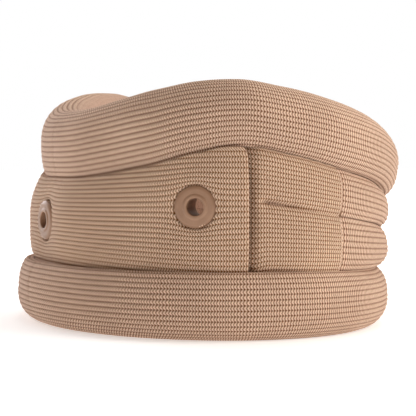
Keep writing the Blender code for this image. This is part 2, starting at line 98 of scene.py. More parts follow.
@dataclass(frozen=True)
class CollarForm:
    """Sizes of the collar, and the maths of the oval that all its pieces follow.

    A place is given by an angle round the neck, 0 at the chin and 180 at the nape, a distance
    outwards from the bottom roll's outer face, and a height.
    """

    half_width: float = 0.094
    half_depth: float = 0.0757
    bottom_height: float = 0.026
    support_height: Stations = (
        (0, 0.0348), (20, 0.0352), (45, 0.0395), (60, 0.0445), (76, 0.0477),
        (92, 0.0445), (110, 0.0395), (130, 0.0345), (155, 0.0268), (180, 0.0245),
    )
    crest_height: Stations = (
        (0, 0.0280), (30, 0.0300), (45, 0.0304), (60, 0.0281), (76, 0.0255),
        (110, 0.0268), (145, 0.0250), (180, 0.0250),
    )
    channel_share: Stations = ((70, 0.58), (90, 0.56), (110, 0.53), (130, 0.50), (180, 0.51))
    roll_thickness: float = 0.025
    middle_thickness: float = 0.020
    middle_setback: float = 0.0028
    middle_lean: float = 0.0034
    top_setback: float = 0.0020
    top_lean: float = 0.0085
    band_recess: float = 0.0022
    band_thickness: float = 0.0060
    band_end: float = 78.0
    tab_thickness: float = 0.0020
    tab_end: float = 110.6
    gap: float = 0.0003
    nape_gap: float = 0.0004
    bend_length: float = 0.045

    @staticmethod
    def along(stations: Stations, angle: np.ndarray) -> np.ndarray:
        """Cubic through the stations, its slope centred between neighbours and level at the ends.

        Args:
            stations: Pairs of an angle and a value.
            angle: Angles in degrees; the two sides of the neck are alike.

        Returns:
            The value at each angle.
        """
        places, values = np.array(stations, float).T
        folded = np.abs(np.asarray(angle, float))
        folded = np.clip(np.minimum(folded, 360.0 - folded), places[0], places[-1])
        index = np.clip(np.searchsorted(places, folded, side="right") - 1, 0, len(places) - 2)
        slopes = np.zeros_like(values)
        slopes[1:-1] = (values[2:] - values[:-2]) / (places[2:] - places[:-2])
        span = places[index + 1] - places[index]
        share = (folded - places[index]) / span
        squared, cubed = share**2, share**3
        return (
            (2 * cubed - 3 * squared + 1) * values[index]
            + (cubed - 2 * squared + share) * span * slopes[index]
            + (3 * squared - 2 * cubed) * values[index + 1]
            + (cubed - squared) * span * slopes[index + 1]
        )

    @property
    def centre_shift(self) -> float:
        """How far the oval sits forward, so that the collar's box is centred."""
        return -max(self.top_lean - self.top_setback, 0.0) / 2

    def middle_face(self, angle: np.ndarray) -> np.ndarray:
        """Outer face of the middle zone, outwards from the bottom roll's."""
        return -self.middle_setback - self.middle_lean * np.cos(np.radians(angle))

    def top_face(self, angle: np.ndarray) -> np.ndarray:
        """Outer face of the top roll, outwards from the bottom roll's."""
        return -self.top_setback - self.top_lean * np.cos(np.radians(angle))

    def upper_seam(self, angle: np.ndarray) -> np.ndarray:
        """Height of the crease under the top roll."""
        return self.bottom_height + self.along(self.support_height, angle)

    def lower_seam(self, angle: np.ndarray) -> np.ndarray:
        """Height of the crease over the bottom roll, which sags a little towards the nape."""
        sag = smooth((np.abs(angle) - 80.0) / 60.0)
        return self.bottom_height - 1.5 * MM * sag

    def channel(self, angle: np.ndarray) -> np.ndarray:
        """Height of the sewn channel between the rear rolls."""
        share = self.along(self.channel_share, angle)
        return self.bottom_height + self.along(self.support_height, angle) * share

    def crest(self, angle: np.ndarray) -> np.ndarray:
        """Height of the top roll's crest."""
        return self.upper_seam(angle) + self.along(self.crest_height, angle)

    def outward(self, angle: np.ndarray) -> np.ndarray:
        """Level unit vectors square to the oval."""
        turn = np.radians(angle)
        flat = np.zeros_like(turn)
        across = [self.half_depth * np.sin(turn), -self.half_width * np.cos(turn), flat]
        return unit(np.stack(across, axis=-1))

    def place(self, angle: np.ndarray, outwards: np.ndarray, height: np.ndarray) -> np.ndarray:
        """Points on the ellipse at an angle, moved outwards square to it, at a height.

        Args:
            angle: Angles in degrees, positive on the wearer's left.
            outwards: Distances from the bottom roll's outer face.
            height: Heights over the floor.

        Returns:
            Points, with X, Y and Z on the last axis.
        """
        angle, outwards, height = np.broadcast_arrays(angle, outwards, height)
        turn = np.radians(angle)
        on_oval = np.stack(
            [
                self.half_width * np.sin(turn),
                self.centre_shift - self.half_depth * np.cos(turn),
                height,
            ],
            axis=-1,
        )
        return on_oval + self.outward(angle) * outwards[..., None]

    def degrees_for(self, length: float, angle: float) -> float:
        """Angle that covers a length along the oval at an angle."""
        turn = math.radians(angle)
        return math.degrees(
            length / math.hypot(self.half_width * math.cos(turn), self.half_depth * math.sin(turn))
        )

    def walk(self, first: float, last: float, step: float) -> tuple[np.ndarray, np.ndarray]:
        """Stations at even lengths along the oval.

        Args:
            first: Angle where the walk starts.
            last: Angle where it ends.
            step: Longest distance between stations.

        Returns:
            The stations' angles, and their distances from the chin along the oval.
        """
        fine = np.linspace(0.0, 360.0, 7201)
        turn = np.radians(fine)
        speed = np.hypot(self.half_width * np.cos(turn), self.half_depth * np.sin(turn))
        travel = np.concatenate(
            [[0.0], np.cumsum((speed[1:] + speed[:-1]) / 2 * math.radians(fine[1]))]
        )
        ends = np.interp(np.abs([first, last]), fine, travel) * np.sign([first, last])
        count = max(3, math.ceil(abs(ends[1] - ends[0]) / step) + 1)
        distance = np.linspace(ends[0], ends[1], count)
        angle = np.interp(np.abs(distance), travel, fine) * np.sign(distance)
        return angle, distance

    def bend(self, piece: bpy.types.Object) -> None:
        """Bakes the piece's placement into its mesh; the hinge's place is worked out but not used.
        """
        hinge = float(self.place(self.band_end, 0.0, 0.0)[1])
        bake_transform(piece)


FORM = CollarForm()


# ---------------------------------------------------------------- surfaces


@dataclass
class Surface:
    """A grid of points that closes on itself across, and is capped or closed lengthwise.

    Fields:
        points: Shape (stations, around, 3).
        uv: Shape (stations, around + 1, 2), its last column one whole turn on.
        ring: True where the last station joins the first.
        values: Named numbers, one for each point.
    """

    points: np.ndarray
    uv: np.ndarray | None = None
    ring: bool = False
    values: dict[str, np.ndarray] | None = None

    def faces(self) -> tuple[np.ndarray, np.ndarray, np.ndarray]:
        """Corner numbers of the quads and cap triangles, and each corner's cell in uv."""
        stations, around = self.points.shape[:2]
        last = stations if self.ring else stations - 1
        i, j = np.meshgrid(np.arange(last), np.arange(around), indexing="ij")
        rows = np.stack([i, i + 1, i + 1, i], axis=-1).reshape(-1, 4)
        columns = np.stack([j, j, j + 1, j + 1], axis=-1).reshape(-1, 4)
        quads = (rows % stations) * around + columns % around
        cells = rows * (around + 1) + columns
        if self.ring:
            return quads, np.empty((0, 3), int), cells
        j = np.arange(around)
        following = (j + 1) % around
        start, end = stations * around, stations * around + 1
        tail = (stations - 1) * around
        first_cap = np.stack([j, following, np.full(around, start)], axis=-1)
        last_cap = np.stack([tail + following, tail + j, np.full(around, end)], axis=-1)
        return quads, np.concatenate([first_cap, last_cap]), cells

    def build(self, name: str, finish: bpy.types.Material) -> bpy.types.Object:
        """Makes the surface an object whose faces point outwards.

        Args:
            name: The piece's name.
            finish: Its material.

        Returns:
            The object, at the origin and linked to the scene.
        """
        quads, triangles, cells = self.faces()
        co = self.points.reshape(-1, 3)
        if not self.ring:
            co = np.concatenate([co, [self.points[0].mean(0), self.points[-1].mean(0)]])
        corners = [co[quads[:, k]] for k in range(4)]
        volume = np.einsum(
            "ij,ij->", corners[0], np.cross(corners[1], corners[2])
        ) + np.einsum("ij,ij->", corners[0], np.cross(corners[2], corners[3]))
        if len(triangles):
            a, b, c = (co[triangles[:, k]] for k in range(3))
            volume += np.einsum("ij,ij->", a, np.cross(b, c))
        if volume < 0:
            quads, cells, triangles = quads[:, ::-1], cells[:, ::-1], triangles[:, ::-1]
        mesh = bpy.data.meshes.new(name)
        mesh.from_pydata(co.tolist(), [], quads.tolist() + triangles.tolist())
        mesh.shade_smooth()
        if len(triangles):
            sharp = np.zeros(len(mesh.polygons), bool)
            sharp[len(quads) :] = True
            mesh.attributes.new("sharp_face", "BOOLEAN", "FACE").data.foreach_set("value", sharp)
        if self.uv is not None:
            flat = self.uv.reshape(-1, 2)
            wide = np.concatenate([flat[cells.ravel()], np.zeros((triangles.size, 2))])
            mesh.uv_layers.new(name="knit")
            mesh.uv_layers["knit"].uv.foreach_set("vector", wide.astype(np.float32).ravel())
        for key, numbers in (self.values or {}).items():
            column = np.zeros(len(co), np.float32)
            column[: numbers.size] = numbers.ravel()
            mesh.attributes.new(key, "FLOAT", "POINT").data.foreach_set("value", column)
        mesh.materials.append(finish)
        piece = bpy.data.objects.new(name, mesh)
        bpy.context.scene.collection.objects.link(piece)
        return piece

    def normals(self) -> np.ndarray:
        """Unit normals of the grid: the cross product of its two central differences."""
        lengthwise = np.gradient(self.points, axis=0)
        across = np.roll(self.points, -1, axis=1) - np.roll(self.points, 1, axis=1)
        normal = unit(np.cross(lengthwise, across))
        outwards = self.points - self.points.mean(axis=1, keepdims=True)
        return normal if np.sum(normal * outwards) > 0 else -normal


def ripple(first: np.ndarray, second: np.ndarray, seed: int, waves: int = 7) -> np.ndarray:
    """Soft unevenness between -1 and 1: a sum of slanted sine waves with seeded phases.

    Args:
        first: One coordinate, in whole waves of the longest ripple.
        second: The other, broadcast against the first.
        seed: Chooses the waves.
        waves: How many are summed.

    Returns:
        The ripple at each point.
    """
    draw = np.random.default_rng(seed)
    total = np.zeros(np.broadcast(first, second).shape)
    for wave in range(waves):
        pull = draw.uniform(0.5, 1.0 + 0.45 * wave, 2)
        phase = draw.uniform(0.0, 2 * math.pi)
        total += np.sin(2 * math.pi * (pull[0] * first + pull[1] * second) + phase)
    return total / math.sqrt(2 * waves)


def spline_weights(places: np.ndarray, count: int, closed: bool) -> np.ndarray:
    """Weights that read a coarse row of values at fine places, by Catmull-Rom curves.

    Args:
        places: Where to read, in steps of the coarse row.
        count: Length of the coarse row.
        closed: True where the row runs round.

    Returns:
        A matrix with one row for each place.
    """
    base = np.floor(places).astype(int)
    t = places - base
    share = [
        (-t + 2 * t**2 - t**3) / 2,
        (2 - 5 * t**2 + 3 * t**3) / 2,
        (t + 4 * t**2 - 3 * t**3) / 2,
        (-(t**2) + t**3) / 2,
    ]
    matrix = np.zeros((len(places), count))
    rows = np.arange(len(places))
    for offset, weight in zip((-1, 0, 1, 2), share):
        column = base + offset
        column = column % count if closed else np.clip(column, 0, count - 1)
        np.add.at(matrix, (rows, column), weight)
    return matrix


# ---------------------------------------------------------------- shader maths


class Wire:
    """A socket of a material's nodes that Python's operators do arithmetic on."""

    def __init__(self, loom: "Loom", socket: bpy.types.NodeSocket) -> None:
        """Wraps one output socket."""
        self.loom = loom
        self.socket = socket

    def maths(self, operation: str, *others: "Wire | float", first: bool = True) -> "Wire":
        """Adds a Math node.

        Args:
            operation: The node's operation.
            others: Its other values.
            first: False where this wire is the node's second value.

        Returns:
            The node's result.
        """
        inputs = [self, *others] if first else [*others, self]
        node = self.loom.node(
            "ShaderNodeMath", {"operation": operation}, dict(enumerate(inputs))
        )
        return Wire(self.loom, node.outputs[0])

    def __add__(self, other: "Wire | float") -> "Wire":
        """Sum."""
        return self.maths("ADD", other)

    def __sub__(self, other: "Wire | float") -> "Wire":
        """Difference."""
        return self.maths("SUBTRACT", other)

    def __rsub__(self, other: float) -> "Wire":
        """Difference from a number."""
        return self.maths("SUBTRACT", other, first=False)

    def __mul__(self, other: "Wire | float") -> "Wire":
        """Product."""
        return self.maths("MULTIPLY", other)

    def __pow__(self, other: "Wire | float") -> "Wire":
        """Power."""
        return self.maths("POWER", other)

    def __abs__(self) -> "Wire":
        """Size without its sign."""
        return self.maths("ABSOLUTE")

    def fraction(self) -> "Wire":
        """What is over a whole number."""
        return self.maths("FRACT")

    def cosine(self) -> "Wire":
        """Cosine of as many whole turns, brought between 0 and 1."""
        return (self * (2 * math.pi)).maths("COSINE") * 0.5 + 0.5

    def between(self, low: float, high: float) -> "Wire":
        """Eases from 0 at low to 1 at high."""
        node = self.loom.node(
            "ShaderNodeMapRange",
            {"interpolation_type": "SMOOTHSTEP"},
            {"Value": self, "From Min": low, "From Max": high},
        )
        return Wire(self.loom, node.outputs[0])


class Loom:
    """Builds one material's nodes."""

    def __init__(self, name: str) -> None:
        """Starts an empty material with its output and its Principled shader."""
        self.material = bpy.data.materials.new(name)
        self.material.use_nodes = True
        self.tree = self.material.node_tree
        self.tree.nodes.clear()
        self.shader = self.node("ShaderNodeBsdfPrincipled")
        self.node("ShaderNodeOutputMaterial", {}, {"Surface": self.shader.outputs[0]})

    def node(
        self,
        kind: str,
        settings: dict[str, object] | None = None,
        inputs: dict[str | int, object] | None = None,
    ) -> bpy.types.Node:
        """Adds any node.

        Args:
            kind: The node's type.
            settings: Its own properties, set first.
            inputs: Values, wires or sockets for its inputs, by name or number.

        Returns:
            The node.
        """
        made = self.tree.nodes.new(kind)
        for key, value in (settings or {}).items():
            setattr(made, key, value)
        self.feed(made, inputs or {})
        return made

    def feed(self, node: bpy.types.Node, inputs: dict[str | int, object]) -> None:
        """Sets a node's inputs to values, wires or sockets."""
        for key, value in inputs.items():
            socket = value.socket if isinstance(value, Wire) else value
            if isinstance(socket, bpy.types.NodeSocket):
                self.tree.links.new(socket, node.inputs[key])
            else:
                node.inputs[key].default_value = value

    def wire(self, node: bpy.types.Node, output: str | int = 0) -> Wire:
        """One output of a node as a wire."""
        return Wire(self, node.outputs[output])

    def pattern(self) -> tuple[Wire, Wire]:
        """The two directions of the piece's own knit map."""
        split = self.node(
            "ShaderNodeSeparateXYZ",
            {},
            {0: self.node("ShaderNodeUVMap", {"uv_map": "knit"}).outputs[0]},
        )
        return self.wire(split, 0), self.wire(split, 1)

    def value(self, name: str) -> Wire:
        """A number that the mesh holds at its points."""
        return self.wire(self.node("ShaderNodeAttribute", {"attribute_name": name}), "Fac")

    def noise(self, scale: float, detail: float = 2.0, stretch: Colour = (1, 1, 1)) -> Wire:
        """Noise in the object's own space, about 0.5 on average."""
        place = self.node("ShaderNodeTexCoord").outputs["Object"]
        mapped = self.node("ShaderNodeMapping", {}, {"Vector": place, "Scale": stretch})
        texture = self.node(
            "ShaderNodeTexNoise", {}, {0: mapped.outputs[0], "Scale": scale, "Detail": detail}
        )
        return self.wire(texture)

    def mix(self, share: Wire | float, first: object, second: object) -> Wire:
        """Colour between two colours."""
        ends = [(*end, 1.0) if isinstance(end, tuple) else end for end in (first, second)]
        node = self.node(
            "ShaderNodeMix", {"data_type": "RGBA"}, {0: share, 6: ends[0], 7: ends[1]}
        )
        return self.wire(node, 2)

    def bump(self, height: Wire, distance: float, strength: float = 1.0) -> Wire:
        """Normal from a height between 0 and 1 over a distance in metres."""
        node = self.node(
            "ShaderNodeBump", {}, {"Height": height, "Distance": distance, "Strength": strength}
        )
        return self.wire(node)

    def finish(self, inputs: dict[str | int, object]) -> bpy.types.Material:
        """Feeds the Principled shader and returns the material."""
        self.feed(self.shader, inputs)
        return self.material


# ---------------------------------------------------------------- finishes


@dataclass(frozen=True)
class KnitFinish:
    """Ribbed tubular knit: slanted stitches on each rib, with painted shade in the valleys between.
    The shade is darkest at the eyes, which are partly darker yarn and partly painted shade.
    """

    name: str = "ribbed_knit"
    light: Colour = (0.93, 0.70, 0.54)
    middle: Colour = (0.33, 0.175, 0.10)
    # deep: colour of the painted shade in the valleys, and of the darker yarn at the eyes
    deep: Colour = (0.16, 0.048, 0.010)
    lining: Colour = (0.56, 0.37, 0.28)
    slant: float = 0.55
    roughness: float = 0.92
    sheen: float = 0.12
    sheen_tint: Colour = (1.0, 0.86, 0.80)

    def dress(self) -> bpy.types.Material:
        """Makes the material; it reads the knit map, stitches along by ribs across."""
        loom = Loom(self.name)
        along, across = loom.pattern()
        quiet = loom.value("quiet")
        wander = loom.noise(900.0, 1.0) - 0.5
        rib = 1.0 - abs((across + 0.5).fraction() - 0.5) * 2.0
        strand = (along + rib * self.slant + wander * 0.2).cosine() ** 0.8
        # Painted shade: the valleys between ribs are darkened towards the deep colour, and the eyes
        # darker still (partly darker yarn, partly painted shade); the lining gets less of it.
        painted_valley_shade = 1.0 - rib.between(0.0, 0.55)
        eye_yarn_and_shade = painted_valley_shade * (1.0 - strand)
        thread = loom.mix(strand, self.middle, self.light)
        shaded = loom.mix((eye_yarn_and_shade * 0.85 + painted_valley_shade * 0.4) * (1.0 - quiet * 0.8), thread, self.deep)
        soft = loom.mix(quiet * 0.75, shaded, self.lining)
        patch = loom.noise(28.0, 3.0).between(0.30, 0.72) * 0.55
        patch = patch + loom.noise(1100.0, 1.0).between(0.36, 0.64) * 0.45
        colour = loom.node(
            "ShaderNodeMix",
            {"data_type": "RGBA", "blend_type": "MULTIPLY"},
            {0: 1.0, 6: soft, 7: loom.mix(patch, (0.80, 0.78, 0.77), (1.0, 1.0, 1.0))},
        )
        height = strand * rib.between(0.0, 0.6) * (1.0 - quiet * 0.6)
        fuzz = loom.noise(3200.0, 1.0)
        return loom.finish(
            {
                "Base Color": colour.outputs[2],
                "Roughness": self.roughness,
                "Sheen Weight": self.sheen,
                "Sheen Roughness": 0.45,
                "Sheen Tint": (*self.sheen_tint, 1.0),
                "Specular IOR Level": 0.2,
                "Normal": loom.bump(height * 0.75 + fuzz * 0.35, 0.22 * MM, 0.8),
            }
        )


@dataclass(frozen=True)
class MouldedFinish:
    """Satin moulded plastic with a faint flow pattern."""

    name: str = "moulded_eyelet"
    colour: Colour = (0.33, 0.185, 0.11)
    pale: Colour = (0.375, 0.215, 0.13)
    roughness: float = 0.42

    def dress(self) -> bpy.types.Material:
        """Makes the material; it reads Object coordinates."""
        loom = Loom(self.name)
        flow = loom.noise(160.0, 4.0)
        grain = loom.noise(2600.0, 2.0)
        return loom.finish(
            {
                "Base Color": loom.mix(flow.between(0.35, 0.65), self.colour, self.pale),
                "Roughness": flow * 0.14 + (self.roughness - 0.07),
                "Normal": loom.bump(grain * 0.6 + flow * 0.4, 0.05 * MM, 0.5),
            }
        )


@dataclass(frozen=True)
class WovenFinish:
    """Flat woven strap: weft ribs across, warp threads along."""

    name: str = "woven_strap"
    light: Colour = (0.60, 0.42, 0.31)
    deep: Colour = (0.30, 0.185, 0.12)
    roughness: float = 0.8

    def dress(self) -> bpy.types.Material:
        """Makes the material; it reads the knit map, weft ribs along by warp ribs across."""
        loom = Loom(self.name)
        along, across = loom.pattern()
        weft = along.cosine()
        warp = (across + along.fraction().between(0.4, 0.6) * 0.5).cosine()
        weave = weft * 0.55 + warp * 0.45
        dust = loom.noise(45.0, 3.0)
        return loom.finish(
            {
                "Base Color": loom.mix(weave * 0.8 + dust * 0.2, self.deep, self.light),
                "Roughness": self.roughness,
                "Sheen Weight": 0.2,
                "Normal": loom.bump(weave, 0.12 * MM, 0.9),
            }
        )


@dataclass(frozen=True)
class TapeFinish:
    """Hook or loop tape: rows of hooks, or a felt of loops."""

    name: str
    light: Colour
    deep: Colour
    pitch: float
    tangle: float

    def dress(self) -> bpy.types.Material:
        """Makes the material; it reads the knit map and breaks its rows up with noise."""
        loom = Loom(self.name)
        along, across = loom.pattern()
        stray = (loom.noise(1900.0, 2.0) - 0.5) * self.tangle
        dots = (along * self.pitch + stray).cosine() * (across * self.pitch + stray).cosine()
        return loom.finish(
            {
                "Base Color": loom.mix(dots, self.deep, self.light),
                "Roughness": 0.75,
                "Sheen Weight": 0.3,
                "Normal": loom.bump(dots, 0.25 * MM, 1.0),
            }
        )


@dataclass(frozen=True)
class ThreadFinish:
    """Twisted sewing thread."""

    name: str = "sewing_thread"
    colour: Colour = (0.72, 0.53, 0.42)

    def dress(self) -> bpy.types.Material:
        """Makes the material; its twist is a fine noise in Object coordinates."""
        loom = Loom(self.name)
        twist = loom.noise(5200.0, 1.0)
        dark = tuple(0.6 * part for part in self.colour)
        return loom.finish(
            {
                "Base Color": loom.mix(twist.between(0.3, 0.7), dark, self.colour),
                "Roughness": 0.7,
                "Normal": loom.bump(twist, 0.05 * MM, 0.7),
            }
        )


# ---------------------------------------------------------------- padding


@dataclass(frozen=True)
class FoamFill:
    """Foam that swells a knit tube, by cloth simulation on a coarse copy of it."""

    pressure: float = 4.0
    steps: int = 18
    furthest: float = 1.1 * MM

    def swell(self, rings: np.ndarray, held: np.ndarray) -> np.ndarray:
        """Inflates a coarse tube while some of its points stay put.

        Args:
            rings: Points of the tube, shape (stations, around, 3).
            held: Share of each point that stays put, shape (stations, around).

        Returns:
            How far each point moved, no further than the furthest.
        """
        surface = Surface(rings)
        blank = bpy.data.materials.new("blank")
        piece = surface.build("swelling_tube", blank)
        group = piece.vertex_groups.new(name="held")
        for index, share in enumerate(held.ravel().tolist() + [1.0, 1.0]):
            group.add([index], share, "REPLACE")
        cloth = piece.modifiers.new("fill", "CLOTH")
        settings = cloth.settings
        settings.quality = 5
        settings.mass = 0.15
        settings.tension_stiffness = 12.0
        settings.compression_stiffness = 12.0
        settings.shear_stiffness = 4.0
        settings.bending_stiffness = 0.3
        settings.use_pressure = True
        settings.uniform_pressure_force = self.pressure
        settings.vertex_group_mass = "held"
        settings.effector_weights.gravity = 0.0
        cloth.collision_settings.use_collision = False
        cloth.point_cache.frame_start = 1
        cloth.point_cache.frame_end = self.steps
        scene = bpy.context.scene
        for step in range(1, self.steps + 1):
            scene.frame_set(step)
        shown = piece.evaluated_get(bpy.context.evaluated_depsgraph_get())
        co = np.empty(len(shown.data.vertices) * 3, np.float32)
        shown.data.vertices.foreach_get("co", co)
        moved = co.reshape(-1, 3)[: rings.shape[0] * rings.shape[1]].reshape(rings.shape) - rings
        data = piece.data
        bpy.data.objects.remove(piece)
        bpy.data.meshes.remove(data)
        bpy.data.materials.remove(blank)
        scene.frame_set(1)
        length = np.linalg.norm(moved, axis=-1, keepdims=True)
        return moved * np.minimum(1.0, self.furthest / np.maximum(length, 1e-9))


@dataclass(frozen=True)
class Knit:
    """How the knit lies on a roll."""

    stitch: float = 1.15 * MM
    relief: float = 0.36 * MM
    samples: int = 6

    def along(self, angle: np.ndarray, distance: np.ndarray) -> np.ndarray:
        """Stitches counted along the oval; they are stretched longer towards the chin."""
        length = self.stitch * (1.0 + 0.65 * (1.0 - smooth(np.abs(angle) / 62.0)))
        steps = np.diff(distance, axis=0) * 2.0 / (length[1:] + length[:-1])
        counted = np.concatenate([0.0 * distance[:1], np.cumsum(steps, axis=0)])
        return counted - counted[np.abs(distance).argmin()]

    def rib_height(self, phase: np.ndarray) -> np.ndarray:
        """Rounded ribs with narrow valleys: the raised cosine of the phase, to the power 0.6."""
        return (0.5 + 0.5 * np.cos(2 * math.pi * phase)) ** 0.6 - 0.6


@dataclass
class Room:
    """The space that a roll fills at some angles: two faces and two heights."""

    inner: np.ndarray
    outer: np.ndarray
    low: np.ndarray
    high: np.ndarray


@dataclass
class PaddedRoll:
    """A knit tube round a foam core, carried along half of the oval.

    Its outline is a superellipse in its room: across and up are the cosine and the sine of the
    turn, each raised to 2 over the fullness, which may differ between the four quarters.
    """

    name: str
    side: Side
    first: float
    last: float
    room: Callable[[np.ndarray], Room]
    ribs: int
    seed: int
    stands_for: tuple[str, ...]
    fullness: tuple[float, float, float, float] = (2.5, 2.5, 2.5, 2.5)
    chin_fullness: tuple[float, float, float, float] | None = None
    press: tuple[float, float] = (1.1, 1.1)
    front_press: tuple[float, float] | None = None
    press_eases: tuple[float, float] = (45.0, 95.0)
    knit: Knit = Knit()
    fill: FoamFill = FoamFill()
    step: float = 1.9 * MM
    end_radius: float = 5.0 * MM
    unevenness: float = 0.28 * MM
    lined: float = 1.0

    def quarter_fullness(self, angle: np.ndarray, turn: np.ndarray) -> np.ndarray:
        """Fullness at each point: by quarter, and easing from the chin's to the side's."""
        quarter = np.floor(np.mod(turn, 2 * math.pi) / (math.pi / 2)).astype(int) % 4
        usual = np.array(self.fullness)[quarter]
        if self.chin_fullness is None:
            return np.broadcast_to(usual, np.broadcast(angle, turn).shape)
        chin = np.array(self.chin_fullness)[quarter]
        return usual + (chin - usual) * (1.0 - smooth((np.abs(angle) - 25.0) / 45.0))

    def pressed(self, angle: np.ndarray, up: np.ndarray) -> np.ndarray:
        """How much the roll is squeezed flat below or above, easing between two angles."""
        usual = np.where(up < 0, *self.press)
        if self.front_press is None:
            return usual
        before = np.where(up < 0, *self.front_press)
        start, end = self.press_eases
        return before + (usual - before) * smooth((np.abs(angle) - start) / (end - start))

    def outline(self, angle: np.ndarray, turn: np.ndarray) -> tuple[np.ndarray, np.ndarray]:
        """Superellipse in the room at an angle.

        Args:
            angle: Angles round the neck.
            turn: Turns round the roll, 0 outwards and a quarter turn up.

        Returns:
            Distances outwards, and heights.
        """
        room = self.room(angle)
        power = 2.0 / self.quarter_fullness(angle, turn)
        across = signed_power(np.cos(turn), power)
        up = signed_power(np.sin(turn), power)
        up = np.clip(up * self.pressed(angle, up), -1.0, 1.0)
        outwards = (room.inner + room.outer) / 2 + (room.outer - room.inner) / 2 * across
        return outwards, (room.low + room.high) / 2 + (room.high - room.low) / 2 * up

    def front(self, angle: np.ndarray, height: np.ndarray) -> np.ndarray:
        """Outer face of the outline at a height; its inner face where the height is outside it."""
        room = self.room(angle)
        up = (height - (room.high + room.low) / 2) / ((room.high - room.low) / 2)
        fullness = np.where(up < 0, self.fullness[3], self.fullness[0])
        squeezed = np.abs(up) / self.pressed(angle, up)
        across = np.clip(1.0 - squeezed**fullness, 0.0, 1.0) ** (1.0 / fullness)
        face = (room.inner + room.outer) / 2 + (room.outer - room.inner) / 2 * across
        return np.where(np.abs(up) <= 1.0, face, room.inner)

    def even_turns(self, angle: np.ndarray, share: np.ndarray) -> np.ndarray:
        """Turns at given shares of the outline's length, at each station.

        The outline's running length is laid end to end for all stations, so that one
        interpolation inverts it for all of them.

        Args:
            angle: Station angles, as a column.
            share: Shares of the way round, from 0 up to 1.

        Returns:
            Turns, shape (stations, around).
        """
        fine = np.linspace(0.0, 2 * math.pi, 721)[None, :]
        outwards, height = self.outline(angle, fine)
        length = np.hypot(np.diff(outwards, axis=1), np.diff(height, axis=1))
        travel = np.cumsum(length, axis=1)
        travel = np.concatenate([0.0 * angle, travel / travel[:, -1:]], axis=1)
        row = np.arange(len(angle))[:, None]
        wanted = row + np.clip(share, 0.0, 1.0 - 1e-9)
        turns = np.broadcast_to(fine, travel.shape)
        laid = row + travel * (1.0 - 1e-9)
        return np.interp(wanted.ravel(), laid.ravel(), turns.ravel()).reshape(wanted.shape)

    def skin(self, angle: np.ndarray, distance: np.ndarray, turn: np.ndarray) -> np.ndarray:
        """Smooth tube before its ribs: outlines at the stations, uneven, drawn in at a sewn end.

        Args:
            angle: Station angles, as a column.
            distance: Distances of the stations along the oval, as a column.
            turn: Turns round the roll, as a row.

        Returns:
            Points, shape (stations, around, 3).
        """
        outwards, height = self.outline(angle, turn)
        room = self.room(angle)
        centre = (room.inner + room.outer) / 2, (room.low + room.high) / 2
        tight = np.ones_like(distance)
        if abs(self.last) > 179.0:
            share = np.clip((np.abs(distance[-1]) - np.abs(distance)) / self.end_radius, 0, 1)
            tight = 0.62 + 0.38 * np.sqrt(1.0 - (1.0 - share) ** 2)
        wave = ripple(distance / 0.075, turn / (2 * math.pi), self.seed)
        wave = wave * self.unevenness * (0.3 + 0.7 * np.clip(np.cos(turn) + 0.4, 0, 1))
        wave = wave * smooth(height / (6 * MM))
        outwards = centre[0] + (outwards - centre[0]) * tight + wave * np.cos(turn)
        height = centre[1] + (height - centre[1]) * tight
        return FORM.place(angle, outwards, height)

    def swollen(self, angle: np.ndarray, distance: np.ndarray, share: np.ndarray) -> np.ndarray:
        """The skin moved as its foam swells it between the creases that hold it.

        Args:
            angle: Station angles, as a column.
            distance: Distances of the stations along the oval, as a column.
            share: Shares of the way round the roll, as a row or for each point.

        Returns:
            Points, shape (stations, around, 3).
        """
        points = self.skin(angle, distance, self.even_turns(angle, share))
        stations = max(10, int(abs(distance[-1, 0] - distance[0, 0]) / (5.5 * MM)))
        around = 28
        coarse = np.linspace(0, len(angle) - 1, stations).round().astype(int)
        places = np.interp(np.arange(len(angle)), coarse, np.arange(stations))
        turn = self.even_turns(angle[coarse], np.arange(around)[None, :] / around)
        rings = self.skin(angle[coarse], distance[coarse], turn)
        held = np.abs(np.sin(turn)) > 0.86
        held[[0, -1]] = True
        moved = self.fill.swell(rings, held.astype(float))
        lengthwise = spline_weights(places, stations, closed=False)
        across = spline_weights(share[0] * around, around, closed=True)
        return points + np.einsum("ia,jb,abk->ijk", lengthwise, across, moved)

    def build(self, finish: bpy.types.Material) -> bpy.types.Object:
        """Builds the roll: its swollen skin, raised into ribs along its normals."""
        angle, distance = FORM.walk(self.first, self.last, self.step)
        angle, distance = angle[:, None], distance[:, None]
        count = self.ribs * self.knit.samples
        phase = np.arange(count + 1)[None, :] / self.knit.samples
        share = phase[:, :-1] / self.ribs
        surface = Surface(self.swollen(angle, distance, share))
        turn = self.even_turns(angle, share)
        quiet = smooth((-np.cos(turn) - 0.05) / 0.5) * self.lined
        relief = self.knit.relief * (1.0 - 0.75 * quiet) * self.knit.rib_height(phase[:, :-1])
        surface.points = surface.points + surface.normals() * relief[..., None]
        surface.points[..., 2] = np.maximum(surface.points[..., 2], 0.02 * MM)
        stray = ripple(distance / 0.03, 0.0 * distance, self.seed + 50) * 0.3
        surface.uv = np.stack(
            np.broadcast_arrays(self.knit.along(angle, distance) + stray, phase), axis=-1
        )
        surface.values = {"quiet": quiet}
        piece = surface.build(self.name, finish)
        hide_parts(*self.stands_for)
        return piece


